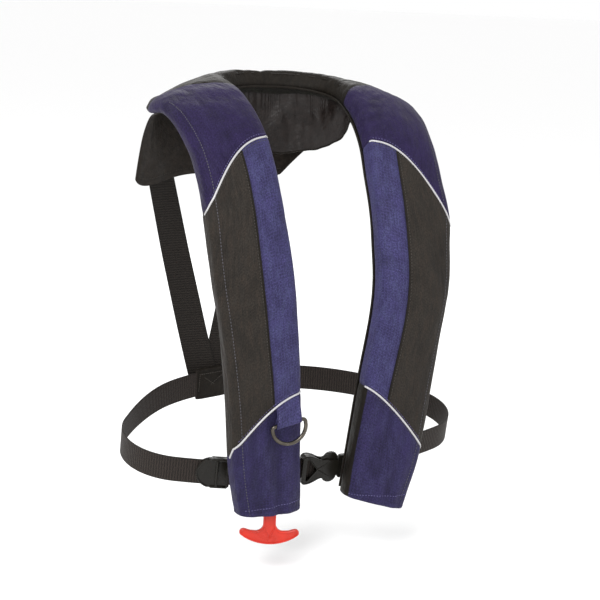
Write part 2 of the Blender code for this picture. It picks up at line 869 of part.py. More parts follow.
def build_adjuster(group, cutters, belt):
    """The slide adjuster: a plate with a rounded tongue, and a slot for the webbing."""
    pivot = frame_empty("adjuster_pivot", (BELT_X, FRONT_CENTRE, 0), (0, 0, 0), group, belt)
    angle = math.asin((ADJUSTER_X - BELT_X) / FRONT_R)
    turn = frame_empty("adjuster_turn", (0, 0, 0), (0, 0, angle), group, pivot)
    stand = frame_empty("adjuster_frame", (0, -FRONT_R, 0), (math.pi / 2, 0, 0), group, turn)
    shape = [(17, -19), (17, 19), (-4, 19)] + arc((-4, 0), 19, 110, 250, 8) + [(-4, -19)]
    plate = outline("adjuster", [shape], ADJUSTER_DEPTH, group, acetal_black(), stand)
    plate = as_mesh(plate)
    low = (-30, -ADJUSTER_SLOT, -WEBBING_SLOT)
    high = (30, ADJUSTER_SLOT, WEBBING_SLOT)
    slot = block("adjuster_slot", low, high, cutters, acetal_black(), parent=turn)
    slot.location = slot.location + Vector((0, -FRONT_R * MM, 0))
    cut(plate, slot)
    return plate


# ---------------------------------------------------------------- D-ring and its tab
def build_ring(group):
    """A D-ring that hangs on its bar, and the sewn tab that folds round the bar."""
    stand = frame_empty("ring_pivot", RING_CENTRE, (0, RING_TILT, 0), group)
    shoulder = 6.0
    path = [(-RING_HALF + 2, 0, 0), (RING_HALF - 2, 0, 0), (RING_HALF, 0, -2.5)]
    for k in range(11):
        angle = math.pi * k / 10
        depth = shoulder + (RING_DROP - shoulder) * math.sin(angle)
        path.append((RING_HALF * math.cos(angle), 0, -depth))
    path.append((-RING_HALF, 0, -2.5))
    ring = wire("d_ring", path, RING_WIRE, group, steel(), closed=True)
    ring.parent = stand
    hole = RING_WIRE + 0.45
    outer = [(-1.6, 11), (-1.6, 4)] + arc((0, 0), hole + 1.2, 120, 420, 10) + [(1.6, 4), (1.6, 11)]
    inner = arc((0, 0), hole, 360, 30, 11)
    holder = frame_empty("tab_frame", (0, 0, 0), (math.pi / 2, 0, math.pi / 2), group, stand)
    outline("d_ring_tab", [outer, inner], TAB_WIDTH, group, ripstop_blue(), holder)
    return ring


# ---------------------------------------------------------------- inflator and handle
def build_inflator(group, cutters):
    """The inflator body with its cylinder, firing pin, sensor cap, and the bladder's stud."""
    x, y, z = INFLATOR
    low = (x - INFLATOR_HALF_X, y - 6.8, z - INFLATOR_HALF_Z)
    high = (x + INFLATOR_HALF_X, y + 8.2, z + INFLATOR_HALF_Z)
    body = block("inflator_body", low, high, group, acetal_black(), 2.0)
    upright = (0, 0, 0)
    bore = [(0, 30), (6.8, 30), (6.8, 12), (2.6, 12), (2.6, -4), (0, -4)]
    cut(body, turned("neck_bore", bore, (x, y, z), upright, cutters, acetal_black()))
    seat = (x, y, z - STUD_DROP)
    backward = (math.pi / 2, 0, 0)
    bore = [(0, 20), (4.9, 20), (4.9, -2.4), (8.6, -2.4), (8.6, -20), (0, -20)]
    cut(body, turned("stud_bore", bore, seat, (-math.pi / 2, 0, 0), cutters, acetal_black()))
    build_cylinder(group, (x, y, z + INFLATOR_HALF_Z + 1))
    pin = [(0, 6), (1.0, 5), (2.1, 4), (2.1, -5), (0, -5)]
    turned("firing_pin", pin, (x, y, z + 2.4), upright, group, cylinder_steel(), 12)
    cap = [(0, 0), (5.6, 0), (6.2, -1.5), (6.2, -15), (5.4, -17), (0, -17)]
    turned("sensor_cap", cap, (x, y, z - INFLATOR_HALF_Z - 0.4), upright, group, cap_yellow())
    stud = [(0, 7.1), (4.4, 7.1), (4.4, -10.2), (13.5, -10.2), (13.5, -12.2), (0, -12.2)]
    turned("manifold_stud", stud, seat, backward, group, acetal_black())
    nut = [(4.7, 8.0), (8.2, 8.0), (8.2, 2.8), (4.7, 2.8), (4.7, 8.0)]
    turned("manifold_nut", nut, seat, backward, group, acetal_black())
    build_lever(group)


def build_cylinder(group, foot):
    """The gas cylinder: a round top, a straight side and a neck that screws into the body."""
    top = CYLINDER_LENGTH
    r = CYLINDER_R
    profile = [(0, top - 5), (6, top - 5.8), (r - 0.9, top - 8.2), (r, top - 13.1)]
    profile += [(r, 11.5), (r - 0.9, 6.6), (6.4, 3.0), (6.4, -4.9), (0, -4.9)]
    turned("co2_cylinder", profile, foot, (0, 0, 0), group, cylinder_steel())


def build_lever(group):
    """The trip lever beside the body, on its pivot pin, with its free end up."""
    pivot = frame_empty("lever_pivot_frame", LEVER_PIVOT, (math.pi / 2, 0, 0), group)
    arm = arc((0, 0), 4.4, 180, 360, 8) + [(4.4, 4), (2.4, LEVER_ARM)] + arc((0, LEVER_ARM), 2.4, 30, 180, 5)
    hole = arc((0, 0), 1.7, 360, 30, 11)
    outline("trip_lever", [arm + [(-4.4, 4)], hole], 4.0, group, acetal_black(), pivot)
    pin = [(0, 5.4), (1.4, 5.4), (1.4, -5.4), (0, -5.4)]
    turned("lever_pin", pin, LEVER_PIVOT, (math.pi / 2, 0, 0), group, cylinder_steel(), 12)


def build_handle(group):
    """The pull handle: a stem and two wings with a raised rim line, on its lanyard."""
    turn = (math.pi / 2, 0, HANDLE_TURN)
    stand = frame_empty("handle_frame", (HANDLE_X, HANDLE_Y, 0), turn, group)
    top = HANDLE_TOP
    low = HANDLE_BOTTOM
    half = [(7.4, top), (7.4, low + 21)]
    half += arc((15.4, low + 21.5), 8.0, 190, 260, 4)
    half += [(24, low + 16.6), (29, low + 18)]
    half += arc((31, low + 14.6), 2.9, 70, -50, 4)
    half += arc((0, low + 56), 56, -62, -90, 5)
    other = [(-x, z) for x, z in reversed(half[:-1])]
    outline("pull_handle", [half + other], 4.4, group, handle_red(), stand, corner=1.0)
    tip = (LEVER_PIVOT[0] + 4.5, LEVER_PIVOT[1] - 4.6, LEVER_PIVOT[2] + LEVER_ARM - 4)
    lanyard = [tip, (HANDLE_X, HANDLE_Y - 0.9, HANDLE_TOP + GAP)]
    wire("lanyard", lanyard, 1.1, group, handle_red(), sides=1)


# ---------------------------------------------------------------- oral tube
def build_oral(group):
    """The oral tube with its flange at the foot, the valve, its poppet and the dust cap."""
    foot = -ORAL_LENGTH
    bore = 4.4
    upright = (0, 0, 0)
    tube = [(bore, 0), (ORAL_R, 0), (ORAL_R, foot), (8.2, foot), (8.2, foot - 2), (bore, foot - 2)]
    turned("oral_tube", tube + tube[:1], ORAL, upright, group, tube_black())
    valve = [(2.4, 15), (5.6, 15), (5.6, 2), (ORAL_R, 2), (ORAL_R, GAP), (4.0, GAP), (4.0, -8)]
    valve += [(2.4, -8), (2.4, 15)]
    turned("oral_valve", valve, ORAL, upright, group, acetal_black())
    poppet = [(0, 15.4), (2.0, 15.4), (2.0, -11), (3.6, -12), (3.6, -14), (0, -14)]
    turned("valve_poppet", poppet, ORAL, upright, group, handle_red(), 16)
    cap = [(0, 21), (7.2, 21), (8.0, 20), (8.0, 3), (6.0, 3), (6.0, 19), (0, 19)]
    turned("dust_cap", cap, ORAL, upright, group, tube_black())


# ---------------------------------------------------------------- assembly
def main():
    clear_scene()
    group = new_collection("inflatable_life_jacket")
    cutters = new_collection("cutters")
    build_covers(group, cutters)
    build_backs(group)
    build_pipings(group)
    build_bladder(group)
    build_neck_lining(group)
    build_yoke(group)
    back_strap("right_back_strap", -1, -3.0, group)
    back_strap("left_back_strap", 1, 0.4, group)
    belt = frame_empty("belt_frame", (0, 0, BELT_HEIGHT), (BELT_TILT, 0, 0), group)
    build_belt(group, belt)
    build_tunnels(group, belt)
    build_patch(group, cutters, belt)
    build_socket(group, cutters, belt)
    build_plug(group, belt)
    build_adjuster(group, cutters, belt)
    build_ring(group)
    build_inflator(group, cutters)
    build_handle(group)
    build_oral(group)


main()
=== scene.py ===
"""Looks of the inflatable life jacket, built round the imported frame.

The soft pieces follow the same band as the frame's covers: INNER and OUTER are the band's two
edges, t counts its stations from the right lobe's lower end (0) over the shoulder (10) and the
middle of the neck (14) to the left lobe's lower end (28). Helpers take millimetres.
"""

import json
import math

import bmesh
import bpy
import numpy as np
from mathutils import Matrix, Vector, noise
from mathutils.bvhtree import BVHTree

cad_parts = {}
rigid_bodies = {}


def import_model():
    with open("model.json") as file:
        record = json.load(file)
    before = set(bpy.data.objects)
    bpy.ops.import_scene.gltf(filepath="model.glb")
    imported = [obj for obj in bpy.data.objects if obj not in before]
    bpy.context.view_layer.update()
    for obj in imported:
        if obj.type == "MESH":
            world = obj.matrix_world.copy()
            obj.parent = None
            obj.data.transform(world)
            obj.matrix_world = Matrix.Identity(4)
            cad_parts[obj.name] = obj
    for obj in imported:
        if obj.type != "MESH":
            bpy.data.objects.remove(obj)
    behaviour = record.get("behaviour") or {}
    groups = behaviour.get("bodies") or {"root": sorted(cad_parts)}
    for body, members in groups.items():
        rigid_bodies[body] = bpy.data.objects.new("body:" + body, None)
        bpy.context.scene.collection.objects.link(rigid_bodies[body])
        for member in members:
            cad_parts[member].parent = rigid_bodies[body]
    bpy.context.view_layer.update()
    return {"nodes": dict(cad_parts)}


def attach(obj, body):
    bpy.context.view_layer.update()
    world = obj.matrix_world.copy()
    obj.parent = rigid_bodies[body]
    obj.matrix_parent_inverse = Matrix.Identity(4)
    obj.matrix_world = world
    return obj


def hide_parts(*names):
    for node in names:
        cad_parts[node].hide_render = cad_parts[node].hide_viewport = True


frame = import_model()

MM = 0.001

# The band's inner and outer edge at each station, from a lobe's lower end to the neck's middle.
STATIONS = [
    ((28, -136, -458), (101, -143, -467)),
    ((33, -140, -398), (114, -149, -405)),
    ((40, -149, -318), (123, -152, -325)),
    ((50, -156, -242), (134, -150, -246)),
    ((54, -152, -196), (141, -147, -204)),
    ((56, -139, -156), (144, -138, -167)),
    ((58, -119, -114), (146, -128, -128)),
    ((60, -96, -72), (146, -105, -90)),
    ((64, -73, -38), (149, -76, -56)),
    ((68, -40, -12), (155, -35, -29)),
    ((72, 0, 6), (160, 6, -18)),
    ((75, 38, 14), (160, 52, -22)),
    ((64, 70, 18), (140, 103, -24)),
    ((36, 90, 20), (84, 148, -26)),
    ((0, 97, 20), (0, 164, -27)),
]
LAST = len(STATIONS) - 1
SHOULDER = 10.0
FIRST_PITCH = 60.0
SEAM_SLANT = 1.25

# How far the covers' front bulges, how deep their side walls are, and where the panels on the
# wearer's side lie, all from the band's own surface.
CROWN = 9.0
LIP = 22.0
BACK_N = -23.9
PANEL_Y = -112.2
PANEL_X = 33.0
PANEL_SLOPE = 0.11

BLADDER_N = -19.9
BLADDER_INSET = 5.0
BLADDER_THIN = 1.5
BLADDER_THICK = 17.0
STITCH_HEIGHT = 0.35
SETTLE_FRAMES = 14
LONG_STEPS = 150
ACROSS_STEPS = 70

# Seam between the charcoal panel and the inner strip, as a share of the width, the two
# pipings' laws (height at the inner edge, drop to the outer edge, power of the curve), how
# far the lower end's inner and outer corners stand above the band's own end, and how many
# columns of the lower end's front the black inner wall covers.
SIDES = {
    "right": {
        "mirror": 1,
        "seam": 0.44,
        "upper": (-43, -72, 2.2),
        "lower": (-318.5, -60, 1.8),
        "foot": (-3.0, 7.5),
        "wall": -1,
    },
    "left": {
        "mirror": -1,
        "seam": 0.325,
        "upper": (-47, -90, 2.1),
        "lower": (-318, -76, 1.25),
        "foot": (8.0, -4.0),
        "wall": 2,
    },
}

BELT_TILT = math.radians(9.5)
BELT_HEIGHT = -407.0
BELT_X = 10.0
SIDE_X = 139.0
SIDE_Y = -8.0
SIDE_R = 70.0
FRONT_Y = -107.0
BACK_Y = 134.0
HARNESS_X = -44.0

YOKE_BACK = 150.0
YOKE_SAG = 40.0
YOKE_HALF = 112.0
YOKE_LEFT = -157.0
YOKE_SPAN = 197.0
YOKE_DEPTH = -113.0

HANDLE_X = -68.0
HANDLE_Y = -142.6
HANDLE_TOP = -456.0
HANDLE_LOW = -496.5


# ---------------------------------------------------------------- node materials
class Nodes:
    """A small writer of node trees: each call adds a node and returns its first output."""

    def __init__(self, name, colour=None):
        self.colour = colour
        self.shade = None
        self.mat = bpy.data.materials.new(name)
        self.mat.use_nodes = True
        self.tree = self.mat.node_tree
        self.shader = self.tree.nodes["Principled BSDF"]

    def put(self, socket, value):
        if isinstance(value, bpy.types.NodeSocket):
            self.tree.links.new(value, socket)
        elif isinstance(value, tuple) and len(value) == 3 and socket.type == "RGBA":
            socket.default_value = (*value, 1.0)
        else:
            socket.default_value = value

    def add(self, kind, output=0, inputs=None, **settings):
        node = self.tree.nodes.new("ShaderNode" + kind)
        for key, value in settings.items():
            setattr(node, key, value)
        for key, value in (inputs or {}).items():
            self.put(node.inputs[key], value)
        return node.outputs[output]

    def math(self, operation, a, b=0.0):
        return self.add("Math", inputs={0: a, 1: b}, operation=operation)

    def times(self, a, b):
        return self.math("MULTIPLY", a, b)

    def wave(self, value, period):
        return self.math("SINE", self.times(value, math.tau / period))

    def uv(self):
        return self.add("UVMap", uv_map="mm")

    def spot(self):
        return self.add("TexCoord", "Object")

    def axes(self, vector):
        node = self.tree.nodes.new("ShaderNodeSeparateXYZ")
        self.put(node.inputs[0], vector)
        return node.outputs[0], node.outputs[1]

    def weave(self, u, v, thread):
        """Crossing threads of one width, as a height between -1 and 1."""
        return self.times(self.wave(u, 2 * thread), self.wave(v, 2 * thread))

    def noise(self, vector, scale, detail=3.0, roughness=0.5):
        settings = {"Vector": vector, "Scale": scale, "Detail": detail, "Roughness": roughness}
        return self.add("TexNoise", inputs=settings)

    def ramp(self, value, low, high, to_low=0.0, to_high=1.0):
        settings = {"Value": value, "From Min": low, "From Max": high, "To Min": to_low, "To Max": to_high}
        return self.add("MapRange", inputs=settings)

    def mix(self, factor, a, b):
        node = self.tree.nodes.new("ShaderNodeMix")
        node.data_type = "RGBA"
        self.put(node.inputs[0], factor)
        self.put(node.inputs[6], a)
        self.put(node.inputs[7], b)
        return node.outputs[2]

    def tone(self, factor, share, base=None):
        """Moves the shade, or the colour times base, towards the colour times share."""
        base = self.shade if base is None else tint(self.colour, base)
        self.shade = self.mix(factor, base, tint(self.colour, share))

    def attribute(self, name):
        return self.add("Attribute", "Fac", attribute_name=name)

    def bump(self, height, distance, strength=1.0, normal=None):
        settings = {"Height": height, "Distance": distance * MM, "Strength": strength}
        if normal is not None:
            settings["Normal"] = normal
        return self.add("Bump", inputs=settings)

    def finish(self, roughness, normal=None, **plain):
        self.put(self.shader.inputs["Base Color"], self.shade)
        self.put(self.shader.inputs["Roughness"], roughness)
        if normal is not None:
            self.put(self.shader.inputs["Normal"], normal)
        for key, value in plain.items():
            self.shader.inputs[key.replace("_", " ")].default_value = value
        return self.mat


def tint(colour, factor):
    return tuple(min(1.0, c * factor) for c in colour)


def woven(name, colour, cell=3.6, thread=0.55, line=1.9, sheen=0.03, rough=0.62, drift=(1.6, 1.9, 1.5)):
    """Ripstop cloth: fine crossing threads, a grid of heavier threads, soft creases, patches, and painted
    fold light and shade.
    """
    n = Nodes(name, colour)
    uv = n.uv()
    u, v = n.axes(uv)
    lines = []
    for axis in (u, v):
        share = n.math("FRACT", n.math("DIVIDE", axis, cell))
        lines.append(n.math("LESS_THAN", share, 0.2))
    grid = n.math("MAXIMUM", lines[0], lines[1])
    crossing = n.times(lines[0], lines[1])
    weave = n.weave(u, v, thread)
    blotch = n.noise(uv, 0.035, 4.0)
    # The streaked patches are painted light and shade of folds: lighter streaks along the cloth, in the
    # drift colour.
    streaks = n.add("Mapping", inputs={"Vector": uv, "Scale": (1.0, 0.4, 1.0)})
    patch = n.noise(streaks, 0.13, 5.0, 0.65)
    grain = n.noise(uv, 0.55, 3.0, 0.7)
    painted_fold_light = tuple(c * d for c, d in zip(colour, drift))
    n.tone(n.ramp(blotch, 0.42, 0.58), 1.3, 0.8)
    n.shade = n.mix(n.ramp(patch, 0.45, 0.62, 0.0, 0.8), n.shade, painted_fold_light)
    n.tone(n.times(grid, 0.7), line)
    n.tone(n.times(crossing, 0.6), 0.6)
    n.tone(n.ramp(grain, 0.4, 0.6, 0.0, 0.7), 0.4)
    # Painted shade from the seam attribute: darker in seams, fold valleys, hems and deep side walls.
    n.tone(n.times(n.attribute("seam"), 0.55), 0.28)
    height = n.math("ADD", n.times(weave, 0.3), n.times(grid, 0.5))
    fine = n.bump(height, 0.12, 0.5)
    creases = n.noise(streaks, 0.09, 4.0, 0.55)
    normal = n.bump(creases, 3.2, 1.0, fine)
    gloss = n.ramp(blotch, 0.3, 0.7, rough - 0.06, rough + 0.08)
    extra = {"Sheen_Weight": sheen, "Sheen_Roughness": 0.4, "Specular_IOR_Level": 0.12}
    return n.finish(gloss, normal, **extra)


def plain_cloth(name, colour, rough=0.55, sheen=0.02, fold=0.5, spec=0.12):
    """Plain woven lining cloth with a slight lustre and creases."""
    n = Nodes(name, colour)
    uv = n.uv()
    u, v = n.axes(uv)
    weave = n.weave(u, v, 0.5)
    blotch = n.noise(uv, 0.05, 4.0)
    patch = n.noise(uv, 0.13, 5.0, 0.6)
    n.tone(n.ramp(blotch, 0.35, 0.65), 1.2, 0.78)
    n.tone(n.ramp(patch, 0.42, 0.7, 0.0, 0.8), 2.0)
    n.tone(n.ramp(weave, -1.0, 1.0, 0.0, 0.35), 0.6)
    # Painted shade from the seam attribute: darker in seams, pleat hollows and hems.
    n.tone(n.times(n.attribute("seam"), 0.6), 0.4)
    normal = n.bump(n.noise(uv, 0.09, 3.0, 0.6), 1.8, fold, n.bump(weave, 0.08, 0.4))
    gloss = n.ramp(blotch, 0.3, 0.7, rough - 0.08, rough + 0.1)
    extra = {"Sheen_Weight": sheen, "Sheen_Roughness": 0.35, "Specular_IOR_Level": spec}
    return n.finish(gloss, normal, **extra)


def webbing_cloth(name, colour, width=31.0):
    """Ribbed webbing: cross ribs along its length, a herringbone of yarns, darker edges."""
    n = Nodes(name, colour)
    uv = n.uv()
    u, v = n.axes(uv)
    rib = n.wave(v, 3.2)
    slant = n.math("ADD", v, n.times(n.math("PINGPONG", u, 3.0), 0.8))
    yarn = n.wave(slant, 2.5)
    height = n.math("ADD", n.times(rib, 0.6), n.times(yarn, 0.4))
    fray = n.noise(uv, 0.6, 3.0)
    # Painted light and shade on the ribs and yarns: darker in their grooves, lighter on their crests.
    n.tone(n.ramp(height, -0.7, 0.8), 1.7, 0.3)
    n.tone(n.ramp(fray, 0.5, 0.75, 0.0, 0.85), 2.4)
    n.tone(n.ramp(fray, 0.5, 0.3, 0.0, 0.6), 0.4)
    edge = n.math("ABSOLUTE", n.math("SUBTRACT", n.math("DIVIDE", u, width), 0.5))
    n.tone(n.ramp(edge, 0.44, 0.5, 0.0, 0.6), 0.5)
    normal = n.bump(height, 0.35, 0.7)
    gloss = n.ramp(fray, 0.3, 0.7, 0.55, 0.75)
    extra = {"Sheen_Weight": 0.02, "Sheen_Roughness": 0.5, "Specular_IOR_Level": 0.15}
    return n.finish(gloss, normal, **extra)


def moulded(name, colour, rough=0.35, grain=0.25, coat=0.0, spec=0.5):
    """Moulded plastic: fine spark-eroded grain, soft blotches and faint rubbed spots."""
    n = Nodes(name, colour)
    spot = n.spot()
    speck = n.noise(spot, 1800.0, 2.0)
    blotch = n.noise(spot, 60.0, 4.0)
    n.tone(n.ramp(blotch, 0.35, 0.7), 1.12, 0.88)
    n.tone(n.ramp(speck, 0.62, 0.8, 0.0, 0.3), 1.5)
    normal = n.bump(speck, 0.08, grain)
    gloss = n.ramp(blotch, 0.3, 0.7, rough - 0.05, rough + 0.1)
    extra = {"Coat_Weight": coat, "Coat_Roughness": 0.2, "Specular_IOR_Level": spec}
    return n.finish(gloss, normal, **extra)


def metal(name, colour, rough):
    """Plated steel with fine scratches and a duller patina in places."""
    n = Nodes(name, colour)
    spot = n.spot()
    fine = n.noise(spot, 900.0, 4.0, 0.6)
    patina = n.noise(spot, 90.0, 4.0)
    n.tone(n.ramp(patina, 0.35, 0.7), 1.15, 0.7)
    gloss = n.ramp(patina, 0.3, 0.7, rough + 0.12, rough - 0.05)
    return n.finish(gloss, n.bump(fine, 0.05, 0.3), Metallic=1.0)


def beaded(name, colour):
    """Retroreflective piping: a silver film of tiny glass beads over a woven cord."""
    n = Nodes(name, colour)
    uv = n.uv()
    u, v = n.axes(uv)
    bead = n.noise(uv, 6.0, 1.0)
    twist = n.wave(n.math("ADD", v, u), 2.4)
    n.tone(n.ramp(bead, 0.4, 0.7), 1.12, 0.8)
    n.tone(n.ramp(twist, 0.4, 1.0, 0.0, 0.25), 0.6)
    normal = n.bump(n.math("ADD", twist, n.times(bead, 0.5)), 0.1, 0.5)
    return n.finish(n.ramp(bead, 0.3, 0.7, 0.25, 0.45), normal, Metallic=0.25)


# ---------------------------------------------------------------- mesh helpers
def link(obj):
    bpy.context.scene.collection.objects.link(obj)
    return obj


def piece(name, verts, faces, mats, body="jacket", uvs=None, seams=None, picks=None, angle=40):
    """A mesh piece from points in mm: uvs per vertex in mm, and painted shade 0..1 per vertex."""
    mesh = bpy.data.meshes.new(name)
    mesh.from_pydata([Vector(p) * MM for p in verts], [], faces)
    mats = mats if isinstance(mats, (list, tuple)) else [mats]
    for mat in mats:
        mesh.materials.append(mat)
    if picks is not None:
        mesh.polygons.foreach_set("material_index", picks)
    if uvs is not None:
        layer = mesh.uv_layers.new(name="mm")
        loops = np.zeros(len(mesh.loops), np.int32)
        mesh.loops.foreach_get("vertex_index", loops)
        layer.data.foreach_set("uv", np.asarray(uvs, np.float32)[loops].ravel())
    # The seam attribute holds painted shade; the cloth finishes darken by it.
    attribute = mesh.attributes.new("seam", "FLOAT", "POINT")
    if seams is not None:
        attribute.data.foreach_set("value", np.asarray(seams, np.float32))
    mesh.shade_smooth()
    mesh.set_sharp_from_angle(angle=math.radians(angle))
    mesh.update()
    obj = link(bpy.data.objects.new(name, mesh))
    obj["body"] = body
    return obj


def lengths(points):
    """Running length along a line of points."""
    run = [0.0]
    for a, b in zip(points, points[1:]):
        run.append(run[-1] + (Vector(b) - Vector(a)).length)
    return run


def grid_piece(name, rows, mats, flip=False, seams=None, picks=None, **extra):
    """A sheet through rows of points. Its UVs are running lengths in mm."""
    height = len(rows)
    width = len(rows[0])
    middle = lengths([row[width // 2] for row in rows])
    verts = [p for row in rows for p in row]
    uvs = [(u, middle[i]) for i, row in enumerate(rows) for u in lengths(row)]
    faces = []
    for i in range(height - 1):
        for j in range(width - 1):
            a = i * width + j
            quad = (a, a + 1, a + width + 1, a + width)
            faces.append(quad[::-1] if flip else quad)
    return piece(name, verts, faces, mats, uvs=uvs, seams=seams, picks=picks, **extra)


def subdivide(obj, levels=1):
    finer = obj.modifiers.new("finer", "SUBSURF")
    finer.levels = levels
    finer.render_levels = levels


def thicken(obj, thickness, offset=-1.0, levels=1):
    """Gives a sheet its thickness in mm, and a finer mesh."""
    shell = obj.modifiers.new("thickness", "SOLIDIFY")
    shell.thickness = thickness * MM
    shell.offset = offset
    subdivide(obj, levels)


def bevel(obj, width):
    edge = obj.modifiers.new("bevel", "BEVEL")
    edge.width = width * MM
    edge.segments = 3
    edge.limit_method = "ANGLE"
    edge.angle_limit = math.radians(30)
    edge.harden_normals = True


def stand_in(obj, slot, *nodes):
    """Hides the frame's nodes that a piece stands for, if any. The slot is not used."""
    if nodes:
        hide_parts(*nodes)


def loft(name, rings, mats, **extra):
    """A closed solid through rings of points."""
    count = len(rings[0])
    verts = [p for ring in rings for p in ring]
    faces = []
    for i in range(len(rings) - 1):
        for j in range(count):
            a = i * count + j
            b = i * count + (j + 1) % count
            faces.append((a, b, b + count, a + count))
    faces.append(tuple(reversed(range(count))))
    faces.append(tuple(range((len(rings) - 1) * count, len(rings) * count)))
    return piece(name, verts, faces, mats, **extra)


def tube(name, path, radius, mats, closed=False, sides=12, **extra):
    """A round cord along a path, with UVs round it and along it."""
    points = [Vector(p) for p in path]
    run = lengths(points)
    count = len(points)
    verts = []
    uvs = []
    up = Vector((0, 1, 0.01)).normalized()
    for i, p in enumerate(points):
        ahead = points[(i + 1) % count] if closed or i + 1 < count else p
        behind = points[i - 1] if closed or i > 0 else p
        along = (ahead - behind).normalized()
        side = along.cross(up).normalized()
        up = side.cross(along).normalized()
        for k in range(sides):
            angle = math.tau * k / sides
            verts.append(p + (side * math.cos(angle) + up * math.sin(angle)) * radius)
            uvs.append((radius * angle, run[i]))
    faces = []
    for i in range(count if closed else count - 1):
        here = i * sides
        there = (i + 1) % count * sides
        for k in range(sides):
            after = (k + 1) % sides
            faces.append((here + k, here + after, there + after, there + k))
    if not closed:
        faces.append(tuple(reversed(range(sides))))
        faces.append(tuple(range((count - 1) * sides, count * sides)))
    return piece(name, verts, faces, mats, uvs=uvs, angle=60, **extra)


def stitches(name, line, mat, pitch=3.4, long=2.3, wide=0.7):
    """A row of thread stitches along a line of (point, normal) pairs."""
    points = [Vector(p) for p, _ in line]
    run = lengths(points)
    verts = []
    faces = []
    uvs = []
    for k in range(int(run[-1] / pitch)):
        s = (k + 0.5) * pitch
        i = max(0, min(len(run) - 2, int(np.searchsorted(run, s)) - 1))
        share = (s - run[i]) / max(1e-6, run[i + 1] - run[i])
        middle = points[i].lerp(points[i + 1], share)
        up = Vector(line[i][1]).lerp(Vector(line[i + 1][1]), share).normalized()
        along = (points[i + 1] - points[i]).normalized()
        side = up.cross(along).normalized()
        start = len(verts)
        for x, z, w in ((-0.5, -0.4, 0.6), (-0.28, 1.0, 1.0), (0.28, 1.0, 1.0), (0.5, -0.4, 0.6)):
            spot = middle + along * (x * long) + up * (z * STITCH_HEIGHT)
            for y in (-0.5, 0.5):
                verts.append(spot + side * (y * wide * w))
                uvs.append((y, s))
        for x in range(3):
            a = start + 2 * x
            faces.append((a, a + 1, a + 3, a + 2))
        faces.append((start, start + 2, start + 4, start + 6))
        faces.append((start + 7, start + 5, start + 3, start + 1))
    return piece(name, verts, faces, mat, uvs=uvs, angle=80)


def settle(obj, pinned, pressure, cap, slack, bending):
    """Cloth simulation between pinned seams, with its result written into the mesh.

    The cloth is slack by a share of its size, and no point of it moves further than cap mm.
    """
    mesh = obj.data
    count = len(mesh.vertices)
    before = np.zeros(count * 3)
    mesh.vertices.foreach_get("co", before)
    before = before.reshape(-1, 3)
    group = obj.vertex_groups.new(name="pinned")
    group.add([i for i, held in enumerate(pinned) if held], 1.0, "REPLACE")
    cloth = obj.modifiers.new("cloth", "CLOTH")
    cloth.settings.quality = 6
    cloth.settings.mass = 0.15
    cloth.settings.tension_stiffness = 20
    cloth.settings.compression_stiffness = 20
    cloth.settings.shear_stiffness = 8
    cloth.settings.bending_stiffness = bending
    cloth.settings.vertex_group_mass = "pinned"
    cloth.settings.use_pressure = True
    cloth.settings.uniform_pressure_force = pressure
    cloth.settings.shrink_min = -slack
    cloth.settings.effector_weights.gravity = 0
    cloth.point_cache.frame_start = 1
    cloth.point_cache.frame_end = SETTLE_FRAMES
    for k in range(1, SETTLE_FRAMES + 1):
        bpy.context.scene.frame_set(k)
    graph = bpy.context.evaluated_depsgraph_get()
    moved = np.zeros(count * 3)
    obj.evaluated_get(graph).data.vertices.foreach_get("co", moved)
    step = moved.reshape(-1, 3) - before
    size = np.linalg.norm(step, axis=1, keepdims=True)
    limit = cap * MM
    step *= np.minimum(1.0, limit * np.tanh(size / limit) / np.maximum(size, 1e-9))
    obj.modifiers.remove(cloth)
    obj.vertex_groups.remove(group)
    mesh.vertices.foreach_set("co", (before + step).astype(np.float32).ravel())
    mesh.update()
    bpy.context.scene.frame_set(1)


# ---------------------------------------------------------------- the band
def smooth(values, t):
    """Catmull-Rom interpolation through a list of vectors; it runs on past their ends."""
    k = max(0, min(int(t), len(values) - 2))
    u = t - k
    p1 = values[k]
    p2 = values[k + 1]
    p0 = values[k - 1] if k > 0 else p1 + (p1 - p2)
    p3 = values[k + 2] if k + 2 < len(values) else p2 + (p2 - p1)
    a = 2 * p1
    b = p2 - p0
    c = 2 * p0 - 5 * p1 + 4 * p2 - p3
    d = 3 * p1 - p0 - 3 * p2 + p3
    return 0.5 * (a + b * u + c * u * u + d * u * u * u)


def mirrored(point, side):
    """The point, or its mirror image on the wearer's other side, if side is -1."""
    return Vector((point.x * side, point.y, point.z))


def both_sides(edge):
    right = [Vector((-p[0], p[1], p[2])) for p in edge]
    return right + [mirrored(p, -1) for p in reversed(right[:-1])]


INNER = both_sides([inner for inner, _ in STATIONS])
OUTER = both_sides([outer for _, outer in STATIONS])


def ripple(x, y, z):
    """Smooth noise between about -1 and 1, the same on each run."""
    return noise.noise(Vector((x, y, z)))


def near(distance, reach):
    """1 on a seam, fading to 0 beyond its reach."""
    return math.exp(-((distance / reach) ** 2))


def section(t):
    """The band at t: its inner edge, its direction outwards, its width and its normal."""
    inner = smooth(INNER, t)
    outer = smooth(OUTER, t)
    across = outer - inner
    ahead = smooth(INNER, t + 0.05) + smooth(OUTER, t + 0.05)
    behind = smooth(INNER, t - 0.05) + smooth(OUTER, t - 0.05)
    normal = (ahead - behind).cross(across).normalized()
    return inner, across.normalized(), across.length, normal


def band_width(t):
    return section(t)[2]


def band_point(t, w, n):
    """A point of the band at t: w mm from the inner edge (or the outer one, if negative)."""
    inner, across, width, normal = section(t)
    if w < 0:
        w += width
    return inner + across * w + normal * n


def unit(x):
    """The number, kept between 0 and 1."""
    return max(0.0, min(1.0, x))


def soft_step(x):
    x = unit(x)
    return x * x * (3 - 2 * x)


